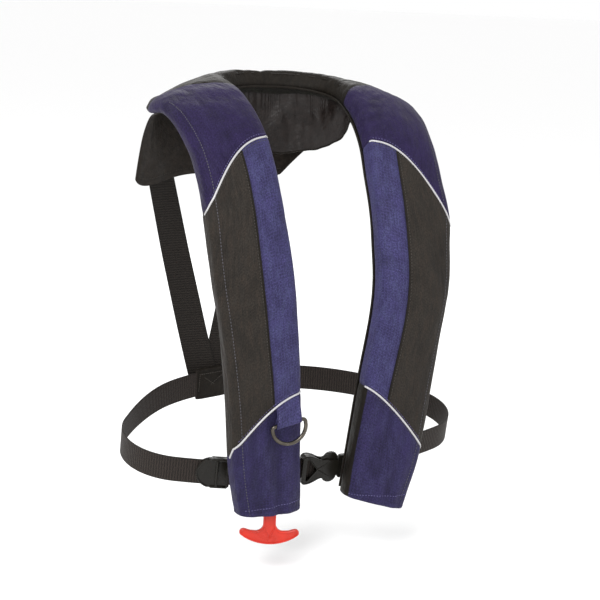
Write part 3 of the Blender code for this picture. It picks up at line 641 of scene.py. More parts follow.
def thinning(t, share):
    """How deep the side wall is, of its full depth: the outer edge is thin over the shoulder."""
    reach = soft_step((LAST - abs(t - LAST) - 7.6) / 2.4)
    return 1 - 0.62 * reach * unit(share) ** 2


def seam_station(share):
    """Where the blue shoulder ends: it reaches further back at its outer edge."""
    return SHOULDER + SEAM_SLANT * unit(share) ** 1.3


def foot_station(spec, share):
    """Where the lower end is: its two corners stand above or below the band's own end."""
    inner, outer = spec["foot"]
    return (inner + (outer - inner) * share) / FIRST_PITCH


def crown(share):
    return CROWN * (1 - (2 * unit(share) - 1) ** 2) ** 0.6


def cover_point(t, share, depth=0.0, lift=0.0):
    """A point of the cover: share across its front, or depth mm down its side wall."""
    inner, across, width, normal = section(t)
    if depth <= 0:
        w = share * width
        edge = 2.0 * max(0.0, abs(2 * share - 1) - 0.86) / 0.14
        return inner + across * w + normal * (crown(share) + lift - 1.2 * edge)
    outward = -1 if share < 0.5 else 1
    bulge = 0.9 * math.sin(math.pi * min(1.0, depth / 20))
    curl = max(0.0, depth - 16) ** 1.6 * 0.3
    w = (0 if share < 0.5 else width) + outward * (bulge - curl + lift)
    return inner + across * w + normal * (-1.2 - depth * thinning(t, share))


def station_at_height(height, share, low, high):
    """The station between low and high where the cover's front has this height."""
    for _ in range(26):
        middle = (low + high) / 2
        if cover_point(middle, share).z < height:
            low = middle
        else:
            high = middle
    return (low + high) / 2


def law_station(law, share):
    """The station, on the right half, where a piping crosses this share of the width."""
    top, drop, power = law
    share = unit(share)
    return station_at_height(top + drop * share**power, max(0.02, min(0.98, share)), 0, SHOULDER)


# ---------------------------------------------------------------- finishes
BLUE = woven("cloth_blue", (0.034, 0.030, 0.09))
# The shoulder's and the lower end's blues are darker copies of the same cloth: painted shade.
BLUE_SHOULDER_SHADED = woven("cloth_blue_shoulder_painted_shade", (0.015, 0.0092, 0.041), line=1.6)
BLUE_LOWER_SHADED = woven("cloth_blue_lower_painted_shade", (0.021, 0.0165, 0.056), line=1.8)
CHARCOAL = woven(
    "cloth_charcoal", (0.02058, 0.01722, 0.01428), cell=3.2, line=1.6, sheen=0.02, drift=(1.7, 1.5, 1.4)
)
BLACK = plain_cloth("cloth_black", (0.0085, 0.0066, 0.0048), fold=0.8)
BLACK_YOKE = plain_cloth("cloth_black_yoke", (0.0185, 0.0145, 0.0115), fold=0.7)
SATIN = plain_cloth("lining_satin", (0.0095, 0.0065, 0.0056), rough=0.38, sheen=0.03, fold=0.8, spec=0.3)
MESH_BLACK = woven("lining_mesh", (0.02, 0.018, 0.016), cell=2.4, thread=0.8, line=0.55, rough=0.75)
WEB = webbing_cloth("webbing", (0.0185, 0.0142, 0.012))
WEB_WIDE = webbing_cloth("webbing_wide", (0.0125, 0.0102, 0.0084), width=38.0)
SILVER = beaded("piping_silver", (0.5, 0.49, 0.5))
THREAD_BLUE = plain_cloth("thread_blue", (0.1, 0.09, 0.2), rough=0.5)
THREAD_DARK = plain_cloth("thread_dark", (0.05, 0.045, 0.04), rough=0.5)
THREAD_GREY = plain_cloth("thread_grey", (0.06, 0.058, 0.066), rough=0.5)
PLASTIC = moulded("plastic_black", (0.009, 0.008, 0.006), rough=0.24, spec=0.22)
PLASTIC_DULL = moulded("plastic_dull", (0.03, 0.028, 0.025), rough=0.5)
RED = moulded("plastic_red", (0.496, 0.024, 0.0112), rough=0.3, grain=0.12, coat=0.15, spec=0.25)
YELLOW = moulded("plastic_yellow", (0.75, 0.5, 0.03), rough=0.4)
RING_METAL = metal("ring_metal", (0.095, 0.084, 0.07), rough=0.28)
PLATED = metal("plated_steel", (0.5, 0.5, 0.48), rough=0.3)
BLADDER = plain_cloth("bladder_cloth", (0.72, 0.56, 0.03), rough=0.45, fold=0.9)
RUBBER = moulded("rubber_black", (0.02, 0.02, 0.02), rough=0.6, grain=0.4)


# ---------------------------------------------------------------- lobes
DEPTHS = (21.5, 20.0, 17.5, 14.5, 11.5, 8.5, 5.5, 2.8)
EDGE_SHARES = (0.0, 0.012, 0.035)
SEAM_SHARE = 0.015
STRIP_COLUMNS = 8
CHARCOAL_COLUMNS = 13
ROWS_LOW = 30
ROWS_MID = 68
ROWS_TOP = 34
ROW_PITCH = 4.2
CAP_ROWS = 6
LOW_LINE = CAP_ROWS + ROWS_LOW
TOP_LINE = LOW_LINE + ROWS_MID
SEAM_COLUMN = len(DEPTHS) + len(EDGE_SHARES) + STRIP_COLUMNS
STITCH_INSET = 8.0


def columns(seam):
    """Places across the cover: (share, depth), inner side wall, front, outer side wall."""
    rim = EDGE_SHARES[-1]
    after = seam + SEAM_SHARE
    strip = (seam - SEAM_SHARE - rim) / STRIP_COLUMNS
    charcoal = (1 - rim - after) / CHARCOAL_COLUMNS
    front = list(EDGE_SHARES)
    front += [rim + strip * k for k in range(1, STRIP_COLUMNS + 1)]
    front += [seam, after]
    front += [after + charcoal * k for k in range(1, CHARCOAL_COLUMNS + 1)]
    front += [1 - share for share in reversed(EDGE_SHARES[:-1])]
    inner = [(0.0, depth) for depth in DEPTHS]
    outer = [(1.0, depth) for depth in reversed(DEPTHS)]
    return inner + [(share, 0.0) for share in front] + outer


def ease(x):
    """Rows gather a little at both ends of a panel, where its seams are."""
    return x + 0.35 * (x * (1 - x) * (2 * x - 1))


def lobe_rows(spec, places):
    """Rows of (panel, places as (t, share, depth)) from the lower end up to the shoulder."""
    lines = []
    for share, depth in places:
        top, drop, power = spec["lower"]
        fall = 1.6 * min(depth, 8.0) if share > 0.5 else 0.0
        low = law_station((top - fall, drop, power), share)
        high = law_station(spec["upper"], share)
        lines.append((foot_station(spec, share), low, high, seam_station(share)))
    rows = []
    for panel, count in enumerate((ROWS_LOW, ROWS_MID, ROWS_TOP)):
        for k in range(count + (panel == 2)):
            row = []
            for (share, depth), line in zip(places, lines):
                start, end = line[panel:panel + 2]
                row.append((start + (end - start) * ease(k / count), share, depth))
            rows.append((panel, row))
    return rows


def cap_point(spec, across, depth, share):
    """A point of the lower end's cap, which closes the cover back to the wearer's side."""
    t = foot_station(spec, across)
    back = band_point(t, max(0.02, min(0.98, across)) * band_width(0), -LIP)
    point = cover_point(t, across, depth).lerp(back, share)
    point.z -= 1.6 * math.sin(math.pi * share)
    return point


def cover_pick(i, j, wall):
    """One face's material: 0 shoulder, 1 strip, 2 charcoal, 3 black inner wall, 4 lower end (0 and 4
    darker blue, painted shade).
    """
    if i < CAP_ROWS:
        return 4
    if i >= TOP_LINE:
        return 0
    if i >= LOW_LINE:
        return 1 if j < SEAM_COLUMN else 2
    return 3 if j < len(DEPTHS) + wall else 4


def lobe(name, spec):
    """A lobe's front cover: blue shoulder, charcoal panel, inner strip and blue lower end, the shoulder
    and lower end in darker blue as painted shade.
    """
    mirror = spec["mirror"]
    places = columns(spec["seam"])
    table = []
    seams = []
    pinned = []
    for k in range(CAP_ROWS):
        share = 1 - k / CAP_ROWS
        row = [cap_point(spec, across, depth, share) for across, depth in places]
        table.append([mirrored(point, mirror) for point in row])
        # Painted shade, darker towards the back of the cap under the lobe's end.
        seams += [0.5 * share] * len(places)
        pinned += [True] * len(places)
    for i, (panel, row) in enumerate(lobe_rows(spec, places), CAP_ROWS):
        line = []
        low = abs(i - LOW_LINE) * ROW_PITCH
        top = abs(i - TOP_LINE) * ROW_PITCH
        sewn = i in (CAP_ROWS, LOW_LINE, TOP_LINE, TOP_LINE + ROWS_TOP)
        hem = near((i - CAP_ROWS - 3) * ROW_PITCH, 2.5) if panel == 0 else 0.0
        for j, (t, share, depth) in enumerate(row):
            width = band_width(t)
            inset = (share - spec["seam"]) * width if panel == 1 and depth == 0 else 99
            close = max(near(low, 3.0), near(top, 3.0), near(inset, 2.4))
            rim = (1 - share) * width - STITCH_INSET
            edge = near(rim, 2.6) if depth == 0 else 0.0
            soft = ripple(share * 3 + 7 * mirror, t * 1.4, depth * 0.05)
            if panel == 0:
                soft += 2.4 * ripple(share * 6 + 3 * mirror, t * 0.4, 4.0)
            pucker = max(near(low, 10.0), near(top, 10.0))
            soft += 0.9 * pucker * ripple(share * 24, t * 2.5, 6.0 * mirror)
            soft += 0.7 * near(rim, 5.0) * ripple(share * 3, t * 8.0, 11.0 * mirror)
            soft += 0.6 * ripple(share * 9 - t * 2.2, t * 3.4, 17.0 * mirror)
            lift = 1.1 * soft * (1 - close) * (0.3 if depth else 1.0)
            lift -= 1.3 * close + 0.5 * hem + 0.7 * edge
            line.append(mirrored(cover_point(t, share, depth, lift), mirror))
            # Painted shade: darker in fold valleys, at the seams, the hem and the stitch line, and deep
            # down the side walls.
            painted_valley_shade = min(0.6, max(0.0, -0.85 * soft)) * (1 - close)
            seams.append(max(0.8 * close, 0.4 * hem, 0.35 * edge, painted_valley_shade, (depth - 14) / 10))
            pinned.append(sewn or depth > 16 or (panel == 1 and j == SEAM_COLUMN))
        table.append(line)
    width = len(places) - 1
    picks = [cover_pick(i, j, spec["wall"]) for i in range(len(table) - 1) for j in range(width)]
    mats = [BLUE_SHOULDER_SHADED, BLUE, CHARCOAL, BLACK, BLUE_LOWER_SHADED]
    obj = grid_piece(name, table, mats, flip=mirror < 0, seams=seams, picks=picks, angle=75)
    if mirror > 0:
        handle_slit(obj, CAP_ROWS * width)
    settle(obj, pinned, 2.2, 3.2, 0.012, 0.35)
    thicken(obj, 0.9)
    return obj


def handle_slit(obj, cap_faces):
    """Opens the right lobe's lower end cap where the pull handle's stem comes out."""
    shape = bmesh.new()
    shape.from_mesh(obj.data)
    slit = []
    for face in shape.faces:
        centre = face.calc_center_median() / MM
        beside = abs(centre.x - HANDLE_X) < 10.0 and abs(centre.y - HANDLE_Y) < 6.0
        if face.index < cap_faces and beside:
            slit.append(face)
    bmesh.ops.delete(shape, geom=slit, context="FACES")
    shape.to_mesh(obj.data)
    shape.free()


def drape(line, tree, lift):
    """Moves a line of (point, normal) pairs onto a settled cloth, lift mm above it."""
    draped = []
    for point, up in line:
        spot, normal, _, _ = tree.ray_cast((point + up * 9) * MM, -up, 20 * MM)
        if spot is not None:
            normal = normal if normal.dot(up) > 0 else -normal
            point = spot / MM + normal * lift
        draped.append((point, up))
    return draped


def cover_spot(spec, t, share, lift):
    """A (point, normal) pair on a lobe's front."""
    point = cover_point(t, share, 0.0, lift)
    slope = (cover_point(t, share + 0.02) - cover_point(t, share - 0.02)).normalized()
    ahead = (cover_point(t + 0.03, share) - cover_point(t - 0.03, share)).normalized()
    return mirrored(point, spec["mirror"]), mirrored(ahead.cross(slope), spec["mirror"])


def lobe_line(spec, share, inset, start, end, lift):
    """A line of (point, normal) pairs along a lobe, inset mm from a share of its width."""
    line = []
    for k in range(LONG_STEPS + 1):
        t = start + (end - start) * k / LONG_STEPS
        line.append(cover_spot(spec, t, share + inset / band_width(t), lift))
    return line


def across_line(spec, law, shift, lift, low=0.03, high=0.97):
    """A line of (point, normal) pairs across a lobe, shift mm above a piping's law."""
    line = []
    for k in range(ACROSS_STEPS + 1):
        share = low + (high - low) * k / ACROSS_STEPS
        t = law_station((law[0] + shift, law[1], law[2]), share)
        line.append(cover_spot(spec, t, share, lift))
    return line


def piping(side, spec, level):
    """A piping across a lobe's front and down its outer side wall."""
    top, drop, power = spec[level]
    fall = 1.6 if level == "lower" else 0.4
    line = [p for p, _ in across_line(spec, spec[level], 0.0, 0.5, 0.0, 1.0)]
    for depth in range(1, 9):
        t = law_station((top - fall * depth, drop, power), 1.0)
        line.append(mirrored(cover_point(t, 1.0, float(depth), 0.5), spec["mirror"]))
    cord = tube(f"{side}_{level}_cord", line, 1.15, SILVER, sides=10)
    stand_in(cord, "reflective_piping", f"{side}_{level}_piping")


def dress_lobe(side, spec, cover):
    """Pipings, stitch lines and the hem of one lobe, laid on its settled cover."""
    bpy.context.view_layer.update()
    tree = BVHTree.FromObject(cover, bpy.context.evaluated_depsgraph_get())
    for level in ("upper", "lower"):
        piping(side, spec, level)
        for place, shift, thread in (("above", 3.4, THREAD_BLUE), ("below", -3.4, THREAD_DARK)):
            row = across_line(spec, spec[level], shift, -0.55)
            stitches(f"{side}_{level}_stitch_{place}", drape(row, tree, -0.1), thread, wide=0.55)
    outer = drape(lobe_line(spec, 1.0, -STITCH_INSET, 0.12, 9.9, -0.35), tree, 0.0)
    stitches(side + "_closure_stitch", outer, THREAD_GREY, pitch=3.6, long=2.5, wide=0.8)
    hem = across_line(spec, (-447, -6, 1.0), 0.0, -0.2)
    stitches(side + "_hem_stitch", drape(hem, tree, -0.1), THREAD_BLUE, wide=0.6)
    low = law_station(spec["lower"], spec["seam"]) + 0.06
    high = law_station(spec["upper"], spec["seam"]) - 0.06
    seam = lobe_line(spec, spec["seam"], 2.6, low, high, -0.75)
    stitches(side + "_seam_stitch", drape(seam, tree, -0.1), THREAD_DARK, wide=0.5)
    cord = drape(lobe_line(spec, spec["seam"], 0.0, low, high, 0.0), tree, 0.1)
    tube(side + "_panel_cord", [p for p, _ in cord], 0.8, BLACK, sides=8)


for side, spec in SIDES.items():
    cover = lobe(side + "_cover", spec)
    stand_in(cover, "ripstop_blue", side + "_front_cover", side + "_closure")
    dress_lobe(side, spec, cover)


# ---------------------------------------------------------------- collar
def collar():
    """The collar's cover: black, with soft cross creases where it bends round the neck."""
    rows = []
    seams = []
    pinned = []
    count = 96
    for i in range(count + 1):
        row = []
        end = min(i, count - i)
        close = near(end * 2.6, 3.0)
        for share, depth in columns(0.5):
            seam = seam_station(share)
            t = seam + (2 * LAST - 2 * seam) * i / count
            crease = ripple(t * 5.5, share * 1.8, 3.1) + 0.6 * ripple(t * 13.0, share * 3.0, 9.7)
            lift = 0.8 * crease - 0.9 * close
            row.append(cover_point(t, share, depth, lift * (0.5 if depth else 1.0)))
            # Painted shade at the collar's end seams and deep down its side walls.
            seams.append(max(0.7 * close, 0.0, (depth - 14) / 10))
            pinned.append(end == 0 or depth > 16)
        rows.append(row)
    obj = grid_piece("collar_shell", rows, BLACK, seams=seams, angle=75)
    settle(obj, pinned, 2.0, 3.0, 0.02, 0.3)
    thicken(obj, 0.9)
    stand_in(obj, "lining_black", "collar_cover")


collar()


# ---------------------------------------------------------------- wearer's side
def back_sheet(name, ends, node, count):
    """A panel on the wearer's side, between the stations that ends(share) gives: open mesh
    cloth, quilted by its edge binding."""
    rows = []
    seams = []
    for i in range(count + 1):
        row = []
        hem = min(i, count - i) * 4.0
        for j in range(19):
            share = j / 18
            start, end = ends(share)
            t = start + (end - start) * i / count
            rim = 1 - (2 * share - 1) ** 8
            puff = 1.6 * rim * (1 - near(hem, 5.0)) + 0.5 * ripple(share * 4, t * 2.0, 5.0)
            level = (BACK_N - 0.2) * thinning(t, share)
            row.append(band_point(t, 0.8 + (band_width(t) - 4.2) * share, level - puff))
            # Painted shade along the quilted edges and the hems.
            seams.append(max(1 - rim, near(hem, 4.0)) * 0.8)
        rows.append(row)
    obj = grid_piece(name, rows, MESH_BLACK, flip=True, seams=seams, angle=75)
    thicken(obj, 1.0, 1.0)
    stand_in(obj, "lining_black", node)
    for edge, w, share in (("inner", 0.2, 0.0), ("outer", -3.4, 1.0)):
        path = []
        start, end = ends(share)
        for i in range(2 * count + 1):
            t = start + (end - start) * i / (2 * count)
            path.append(band_point(t, w, (BACK_N + 0.6) * thinning(t, share)))
        stand_in(tube(f"{name}_{edge}_binding", path, 1.5, BLACK, sides=8), "lining_black")


def right_ends(share):
    return foot_station(SIDES["right"], share) + 0.03, SHOULDER


def left_ends(share):
    return 2 * LAST - SHOULDER, 2 * LAST - foot_station(SIDES["left"], share) - 0.03


def collar_ends(_share):
    return SHOULDER, 2 * LAST - SHOULDER


back_sheet("right_back_sheet", right_ends, "right_back_panel", 110)
back_sheet("left_back_sheet", left_ends, "left_back_panel", 110)
back_sheet("collar_back_sheet", collar_ends, "collar_back_panel", 80)


def bladder():
    """The folded bladder: it fills the covers' inside and thins with them over the shoulder."""
    rings = []
    for i in range(161):
        t = 0.3 + (2 * LAST - 0.6) * i / 160
        width = band_width(t)
        thicker = unit((LAST - abs(t - LAST) - 3.4) / 0.9)
        thick = BLADDER_THIN + (BLADDER_THICK - BLADDER_THIN) * thicker
        back = []
        front = []
        for k in range(11):
            w = BLADDER_INSET + (width - 12.0) * k / 10
            deep = BLADDER_N * thinning(t, w / width)
            back.append(band_point(t, w, deep + 0.6))
            front.append(band_point(t, w, min(-3.4, deep + thick)))
        rings.append(back + front[::-1])
    stand_in(loft("bladder_folds", rings, BLADDER, angle=50), "bladder_yellow", "bladder")


bladder()


# ---------------------------------------------------------------- neck lining and yoke
def neck_lining():
    """Satin gathered under the collar's inner edge, its pleats fading into loose drapes."""
    reach = 3.55
    count = 300
    down = 26
    stations = [LAST - reach + 2 * reach * i / count for i in range(count + 1)]
    edge = [section(t)[:2] for t in stations]
    run = lengths([inner for inner, _ in edge])
    rows = []
    seams = []
    for k in range(down + 1):
        drop = k / down
        fade = (1 - drop) ** 3.4
        hem = max(0.0, 1 - abs(k - 1) * 0.9)
        row = []
        for i, ((inner, across), s) in enumerate(zip(edge, run)):
            side = abs(2 * i / count - 1)
            top = inner - across * 2.6 + Vector((0, 0, -4.5))
            flare = 0.93 + 0.24 * side * side
            foot = Vector((inner.x * flare, inner.y - 5, -80 + 48 * side**3))
            level = top.lerp(foot, drop**0.8)
            level.z = top.z + (foot.z - top.z) * drop
            drift = 4.0 * ripple(s * 0.02, drop * 1.5, 1.0)
            lean = drop * drop * 14 * (i / count - 0.5)
            phase = (s + drift + lean) * math.tau / (7.6 + 2.2 * ripple(s * 0.03, 4.0, 0))
            pleat = (0.5 + 0.5 * math.sin(phase)) ** 0.7
            broad = ripple(s * 0.032 + drop * 1.5, drop * 1.2, 7.0)
            fine = ripple(s * 0.09 - drop * 2.0, drop * 2.0, 2.0)
            swell = 2.6 * pleat * fade * (0.25 + 0.75 * min(1.0, drop * 9))
            swell += (6.0 * broad + 2.0 * fine) * min(1.0, drop * 2.2)
            swell += 2.0 * math.sin(math.pi * drop)
            row.append(level - across * swell)
            # Painted shade in the pleats' hollows, along the gathered seam and at the lower edge.
            seams.append(max(0.8 * (1 - pleat) * fade, 0.9 * hem, 0.5 * (k == down)))
        rows.append(row)
    obj = grid_piece("neck_lining_satin", rows, SATIN, seams=seams, angle=80)
    thicken(obj, 0.7, 0.0)
    stand_in(obj, "lining_black", "neck_lining")
    binding = tube("neck_lining_binding", rows[down][::2], 1.1, BLACK, sides=8)
    stand_in(binding, "lining_black")
    gather = [low.lerp(high, 0.5) for low, high in zip(rows[1][::2], rows[0][::2])]
    stand_in(tube("neck_lining_gather_seam", gather, 1.0, BLACK, sides=8), "lining_black")


def yoke_y(x):
    return YOKE_BACK - YOKE_SAG * ((x - HARNESS_X) / YOKE_HALF) ** 2


def yoke():
    """The panel behind the shoulders: soft folds below the collar, a turned hem with stitches."""
    count = 110
    down = 26
    rows = []
    seams = []
    for k in range(down + 1):
        drop = k / down
        hem = near((down - 2.2 - k) * 4.0, 2.2)
        reach = min(1.0, drop * 3) * min(1.0, (1 - drop) * 4 + 0.25)
        row = []
        for i in range(count + 1):
            share = i / count
            t = 10.4 + 6.2 * share
            edge = near(share, 0.12)
            top = band_point(t, band_width(t) - 7.0 + 5.0 * edge, -25.6 * thinning(t, 1.0) - 0.2)
            x = YOKE_LEFT + YOKE_SPAN * share
            droop = 12.0 * math.exp(-((5 * share - 0.5) ** 2))
            foot = Vector((x, yoke_y(x), YOKE_DEPTH - droop + 7.0 * (1 - share) ** 40))
            level = top.lerp(foot, drop ** (0.6 - 0.2 * edge))
            level.z = top.z + (foot.z - top.z) * drop
            fold = ripple(share * 7 + drop * 0.8, drop * 1.2, 3.0)
            fold += 0.5 * ripple(share * 19, drop * 2.0, 8.0)
            level.y += 2.1 * fold * reach - 1.0 - 0.5 * hem
            row.append(level)
            rim = max(near(i * 3.0, 5.0), near((count - i) * 3.0, 5.0))
            # Painted shade along the turned hem, the side edges and the lower edge.
            seams.append(max(0.7 * hem, 0.5 * rim, 0.6 * (k == down)))
        rows.append(row)
    obj = grid_piece("yoke_cloth", rows, BLACK_YOKE, flip=True, seams=seams, angle=80)
    thicken(obj, 1.6, 0.0)
    stand_in(obj, "lining_black", "back_yoke")
    for face, name in ((-1, "inner"), (1, "outer")):
        line = []
        for i in range(2, count - 1):
            point = rows[down - 2][i].lerp(rows[down - 3][i], 0.5)
            ahead = (rows[down - 2][i + 1] - rows[down - 2][i - 1]).normalized()
            up = ahead.cross(Vector((0, 0, 1))).normalized() * face
            line.append((point + up * 0.75, up))
        stitches(f"yoke_{name}_hem_stitch", line, THREAD_DARK, wide=0.6)


neck_lining()
yoke()


# ---------------------------------------------------------------- belt
def big_arc(crest, sign):
    reach = (SIDE_Y - crest) * sign
    radius = (SIDE_X**2 + reach**2 - SIDE_R**2) / (2 * (reach - SIDE_R))
    return crest + sign * radius, radius


FRONT_CENTRE, FRONT_R = big_arc(FRONT_Y, 1)
BACK_CENTRE, BACK_R = big_arc(BACK_Y, -1)
FRONT_TURN = math.atan2(SIDE_X, FRONT_CENTRE - SIDE_Y)
BACK_TURN = math.atan2(SIDE_X, SIDE_Y - BACK_CENTRE)
BELT_FRAME = Matrix.Translation((0, 0, BELT_HEIGHT)) @ Matrix.Rotation(BELT_TILT, 4, "X")


def belt_world(x, y, z):
    """A point of the belt's own tilted frame, in the jacket's frame.

    The worn belt sags a little at the wearer's right, between the lobe and the back. It
    stands upright behind the back, and rides a little higher there and at the left.
    """
    front = unit((95 - y) / 80)
    back = soft_step((y - 30) / 80)
    left = soft_step((x - 92) / 40) * (1 - back)
    rise = 6.5 * back + 6.5 * left - 4.2 * soft_step((-x - 45) / 47) * front
    return BELT_FRAME @ Vector((x, y + 0.167 * z * back, z + rise))


def front_point(x):
    """A point (x, y) of the belt's front arc and its outward direction there."""
    angle = math.asin((x - BELT_X) / FRONT_R)
    out = Vector((math.sin(angle), -math.cos(angle)))
    return Vector((BELT_X, FRONT_CENTRE)) + out * FRONT_R, out


def arc_points(centre, radius, start, end, count):
    """Points and outward directions on an arc; angles turn from the front direction."""
    line = []
    for k in range(count):
        angle = start + (end - start) * k / count
        out = Vector((math.sin(angle), -math.cos(angle)))
        line.append((Vector(centre) + out * radius, out))
    return line


def belt_path(start_x, end_x):
    """The belt from the right front, round the wearer's right, the back and the left."""
    edge = FRONT_R * math.sin(FRONT_TURN)
    path = [front_point(start_x + (BELT_X - edge - start_x) * k / 12) for k in range(12)]
    right = (BELT_X - SIDE_X, SIDE_Y)
    left = (BELT_X + SIDE_X, SIDE_Y)
    path += arc_points(right, SIDE_R, -FRONT_TURN, BACK_TURN - math.pi, 44)
    back = (BELT_X, BACK_CENTRE)
    path += arc_points(back, BACK_R, BACK_TURN - math.pi, -BACK_TURN - math.pi, 60)
    path += arc_points(left, SIDE_R, math.pi - BACK_TURN, FRONT_TURN, 44)
    path += [front_point(BELT_X + edge + (end_x - BELT_X - edge) * k / 12) for k in range(13)]
    return path


def ribbon(name, path, width, mat, thick=1.7, sway=0.0, **extra):
    """Flat webbing on edge along a path of (point, outward) pairs, with rounded edges."""
    half = width / 2
    reach = [half * k for k in (-0.98, -0.66, -0.33, 0.0, 0.33, 0.66, 0.98)]
    rim = [(z, thick / 2) for z in reach] + [(half, 0.0)]
    rim += [(z, -thick / 2) for z in reversed(reach)] + [(-half, 0.0)]
    rings = []
    uvs = []
    run = lengths([(p.x, p.y, 0) for p, _ in path])
    for (point, out), s in zip(path, run):
        ring = []
        sag = sway * ripple(s * 0.012, 2.0, width)
        turn = 0.02 * sway * ripple(s * 0.016, 9.0, width)
        for z, depth in rim:
            p = point + out * (depth + turn * z)
            ring.append(belt_world(p.x, p.y, z + sag))
            uvs.append((z + half, s))
        rings.append(ring)
    return loft(name, rings, mat, uvs=uvs, angle=60, **extra)


def box_stitch(name, centre, across, along, out, half):
    """A sewn box with a cross inside it, on a flat place; half is (across, along) in mm."""
    corners = [(-1, -1), (1, -1), (1, 1), (-1, 1), (-1, -1), (1, 1), (1, -1), (-1, 1)]
    line = []
    for (x0, y0), (x1, y1) in zip(corners, corners[1:]):
        for k in range(8):
            x = x0 + (x1 - x0) * k / 8
            y = y0 + (y1 - y0) * k / 8
            line.append((centre + across * (x * half[0]) + along * (y * half[1]), out))
    stitches(name, line, THREAD_DARK, pitch=2.9, long=2.1)


def belt():
    """The belt, the narrow strap to the buckle with its sewn end, and the plug's loop."""
    strap = ribbon("belt_strap", belt_path(-72, 89), 31.0, WEB, sway=0.4)
    stand_in(strap, "webbing_black", "belt_webbing")
    path = []
    for x in np.linspace(-67.0, 1.6, 30):
        point, out = front_point(x)
        path.append((point - out * 1.4 * unit((x + 34) / 16), out))
    strap = ribbon("buckle_strap", path, 25.0, WEB, thick=1.6)
    stand_in(strap, "webbing_black", "front_strap")
    spot, out = front_point(-40.0)
    spot += out * 1.5
    turn = BELT_FRAME.to_3x3()
    face = turn @ Vector((out.x, out.y, 0))
    along = turn @ Vector((-out.y, out.x, 0))
    centre = belt_world(spot.x, spot.y, 0)
    box_stitch("buckle_strap_stitch", centre, turn @ Vector((0, 0, 1)), along, face, (9.0, 9.0))
    lay = 2.4
    path = [(Vector((x, FRONT_Y + lay)), Vector((0, 1))) for x in np.linspace(56.0, 42.0, 6)]
    for k in range(9):
        angle = math.pi - math.pi * k / 8
        out = Vector((-math.sin(angle), -math.cos(angle)))
        path.append((Vector((40.3, FRONT_Y)) + out * lay, out))
    path += [(Vector((x, FRONT_Y - lay)), Vector((0, -1))) for x in np.linspace(42.0, 56.0, 6)]
    strap = ribbon("plug_webbing", path, 25.0, WEB, thick=1.6, body="plug")
    stand_in(strap, "webbing_black", "plug_strap")


belt()


def back_straps():
    """Two wide straps from behind the yoke down to the patch on the belt."""
    top_z = -104.0
    foot_x = 9.0
    foot_z = -374.0
    reach = (-0.98, -0.6, -0.2, 0.2, 0.6, 0.98)
    rim = [(z, 0.85) for z in reach] + [(1.0, 0.0)]
    rim += [(z, -0.85) for z in reversed(reach)] + [(-1.0, 0.0)]
    for name, mirror, depth, top_x in (("right", -1, -3.0, 74.0), ("left", 1, 0.4, 66.0)):
        run = math.hypot(foot_x - top_x, foot_z - top_z)
        half = 19.0 * run / (top_z - foot_z)
        rings = []
        uvs = []
        for k in range(61):
            share = k / 60
            middle = HARNESS_X + mirror * (top_x + (foot_x - top_x) * share)
            z = top_z + (foot_z - top_z) * share
            ring = []
            bow = 1.6 * math.sin(math.pi * share) * ripple(share * 3.1, mirror, 4)
            for across, thick in rim:
                x = middle + half * across
                y = (yoke_y(x) + 2.8) * (1 - share) + (BACK_Y + depth) * share
                y -= (4.0 + depth) * max(0.0, (share - 0.9) / 0.1) ** 2
                cup = 0.5 * (1 - across * across)
                ring.append((x, y + thick + cup + bow, z))
                uvs.append(((across + 1) * 19.0, share * run))
            rings.append(ring)
        strap = loft(name + "_strap", rings, WEB_WIDE, uvs=uvs, angle=60)
        stand_in(strap, "webbing_black", name + "_back_strap")


back_straps()


def tunnels():
    """The cloth loops behind the lobes that carry the webbing."""
    lean = math.sin(BELT_TILT)
    for name, x_from, x_to in (("right", -78, -42), ("left", 84, 112)):
        rows = []
        for k in range(15):
            x = x_from + (x_to - x_from) * k / 14
            plate = front_point(x)[0].y + 1.6
            panel = PANEL_Y - PANEL_SLOPE * (abs(x) - PANEL_X)
            low = (panel - 17 * lean) / math.cos(BELT_TILT)
            high = (panel + 17 * lean) / math.cos(BELT_TILT)
            half = [(0, 0.6), (6, 0.3), (12, 0.5), (16.4, 0), (17.4, -2.4)]
            line = [(-22.5, low), (-19.5, low), (-17.8, low + 0.6), (-17.4, low + 3)]
            line += [(-z, plate + y) for z, y in reversed(half[1:])]
            line += [(z, plate + y) for z, y in half]
            line += [(17.4, high + 3), (17.8, high + 0.6), (19.5, high), (22.5, high)]
            soft = 0.5 * ripple(x * 0.12, 1.0, 5.0)
            rows.append([belt_world(x, y + soft * (abs(z) < 15), z) for z, y in line])
        obj = grid_piece(name + "_loop", rows, BLACK, angle=80)
        thicken(obj, 1.2, 0.0, 2)
        stand_in(obj, "lining_black", name + "_tunnel")


tunnels()


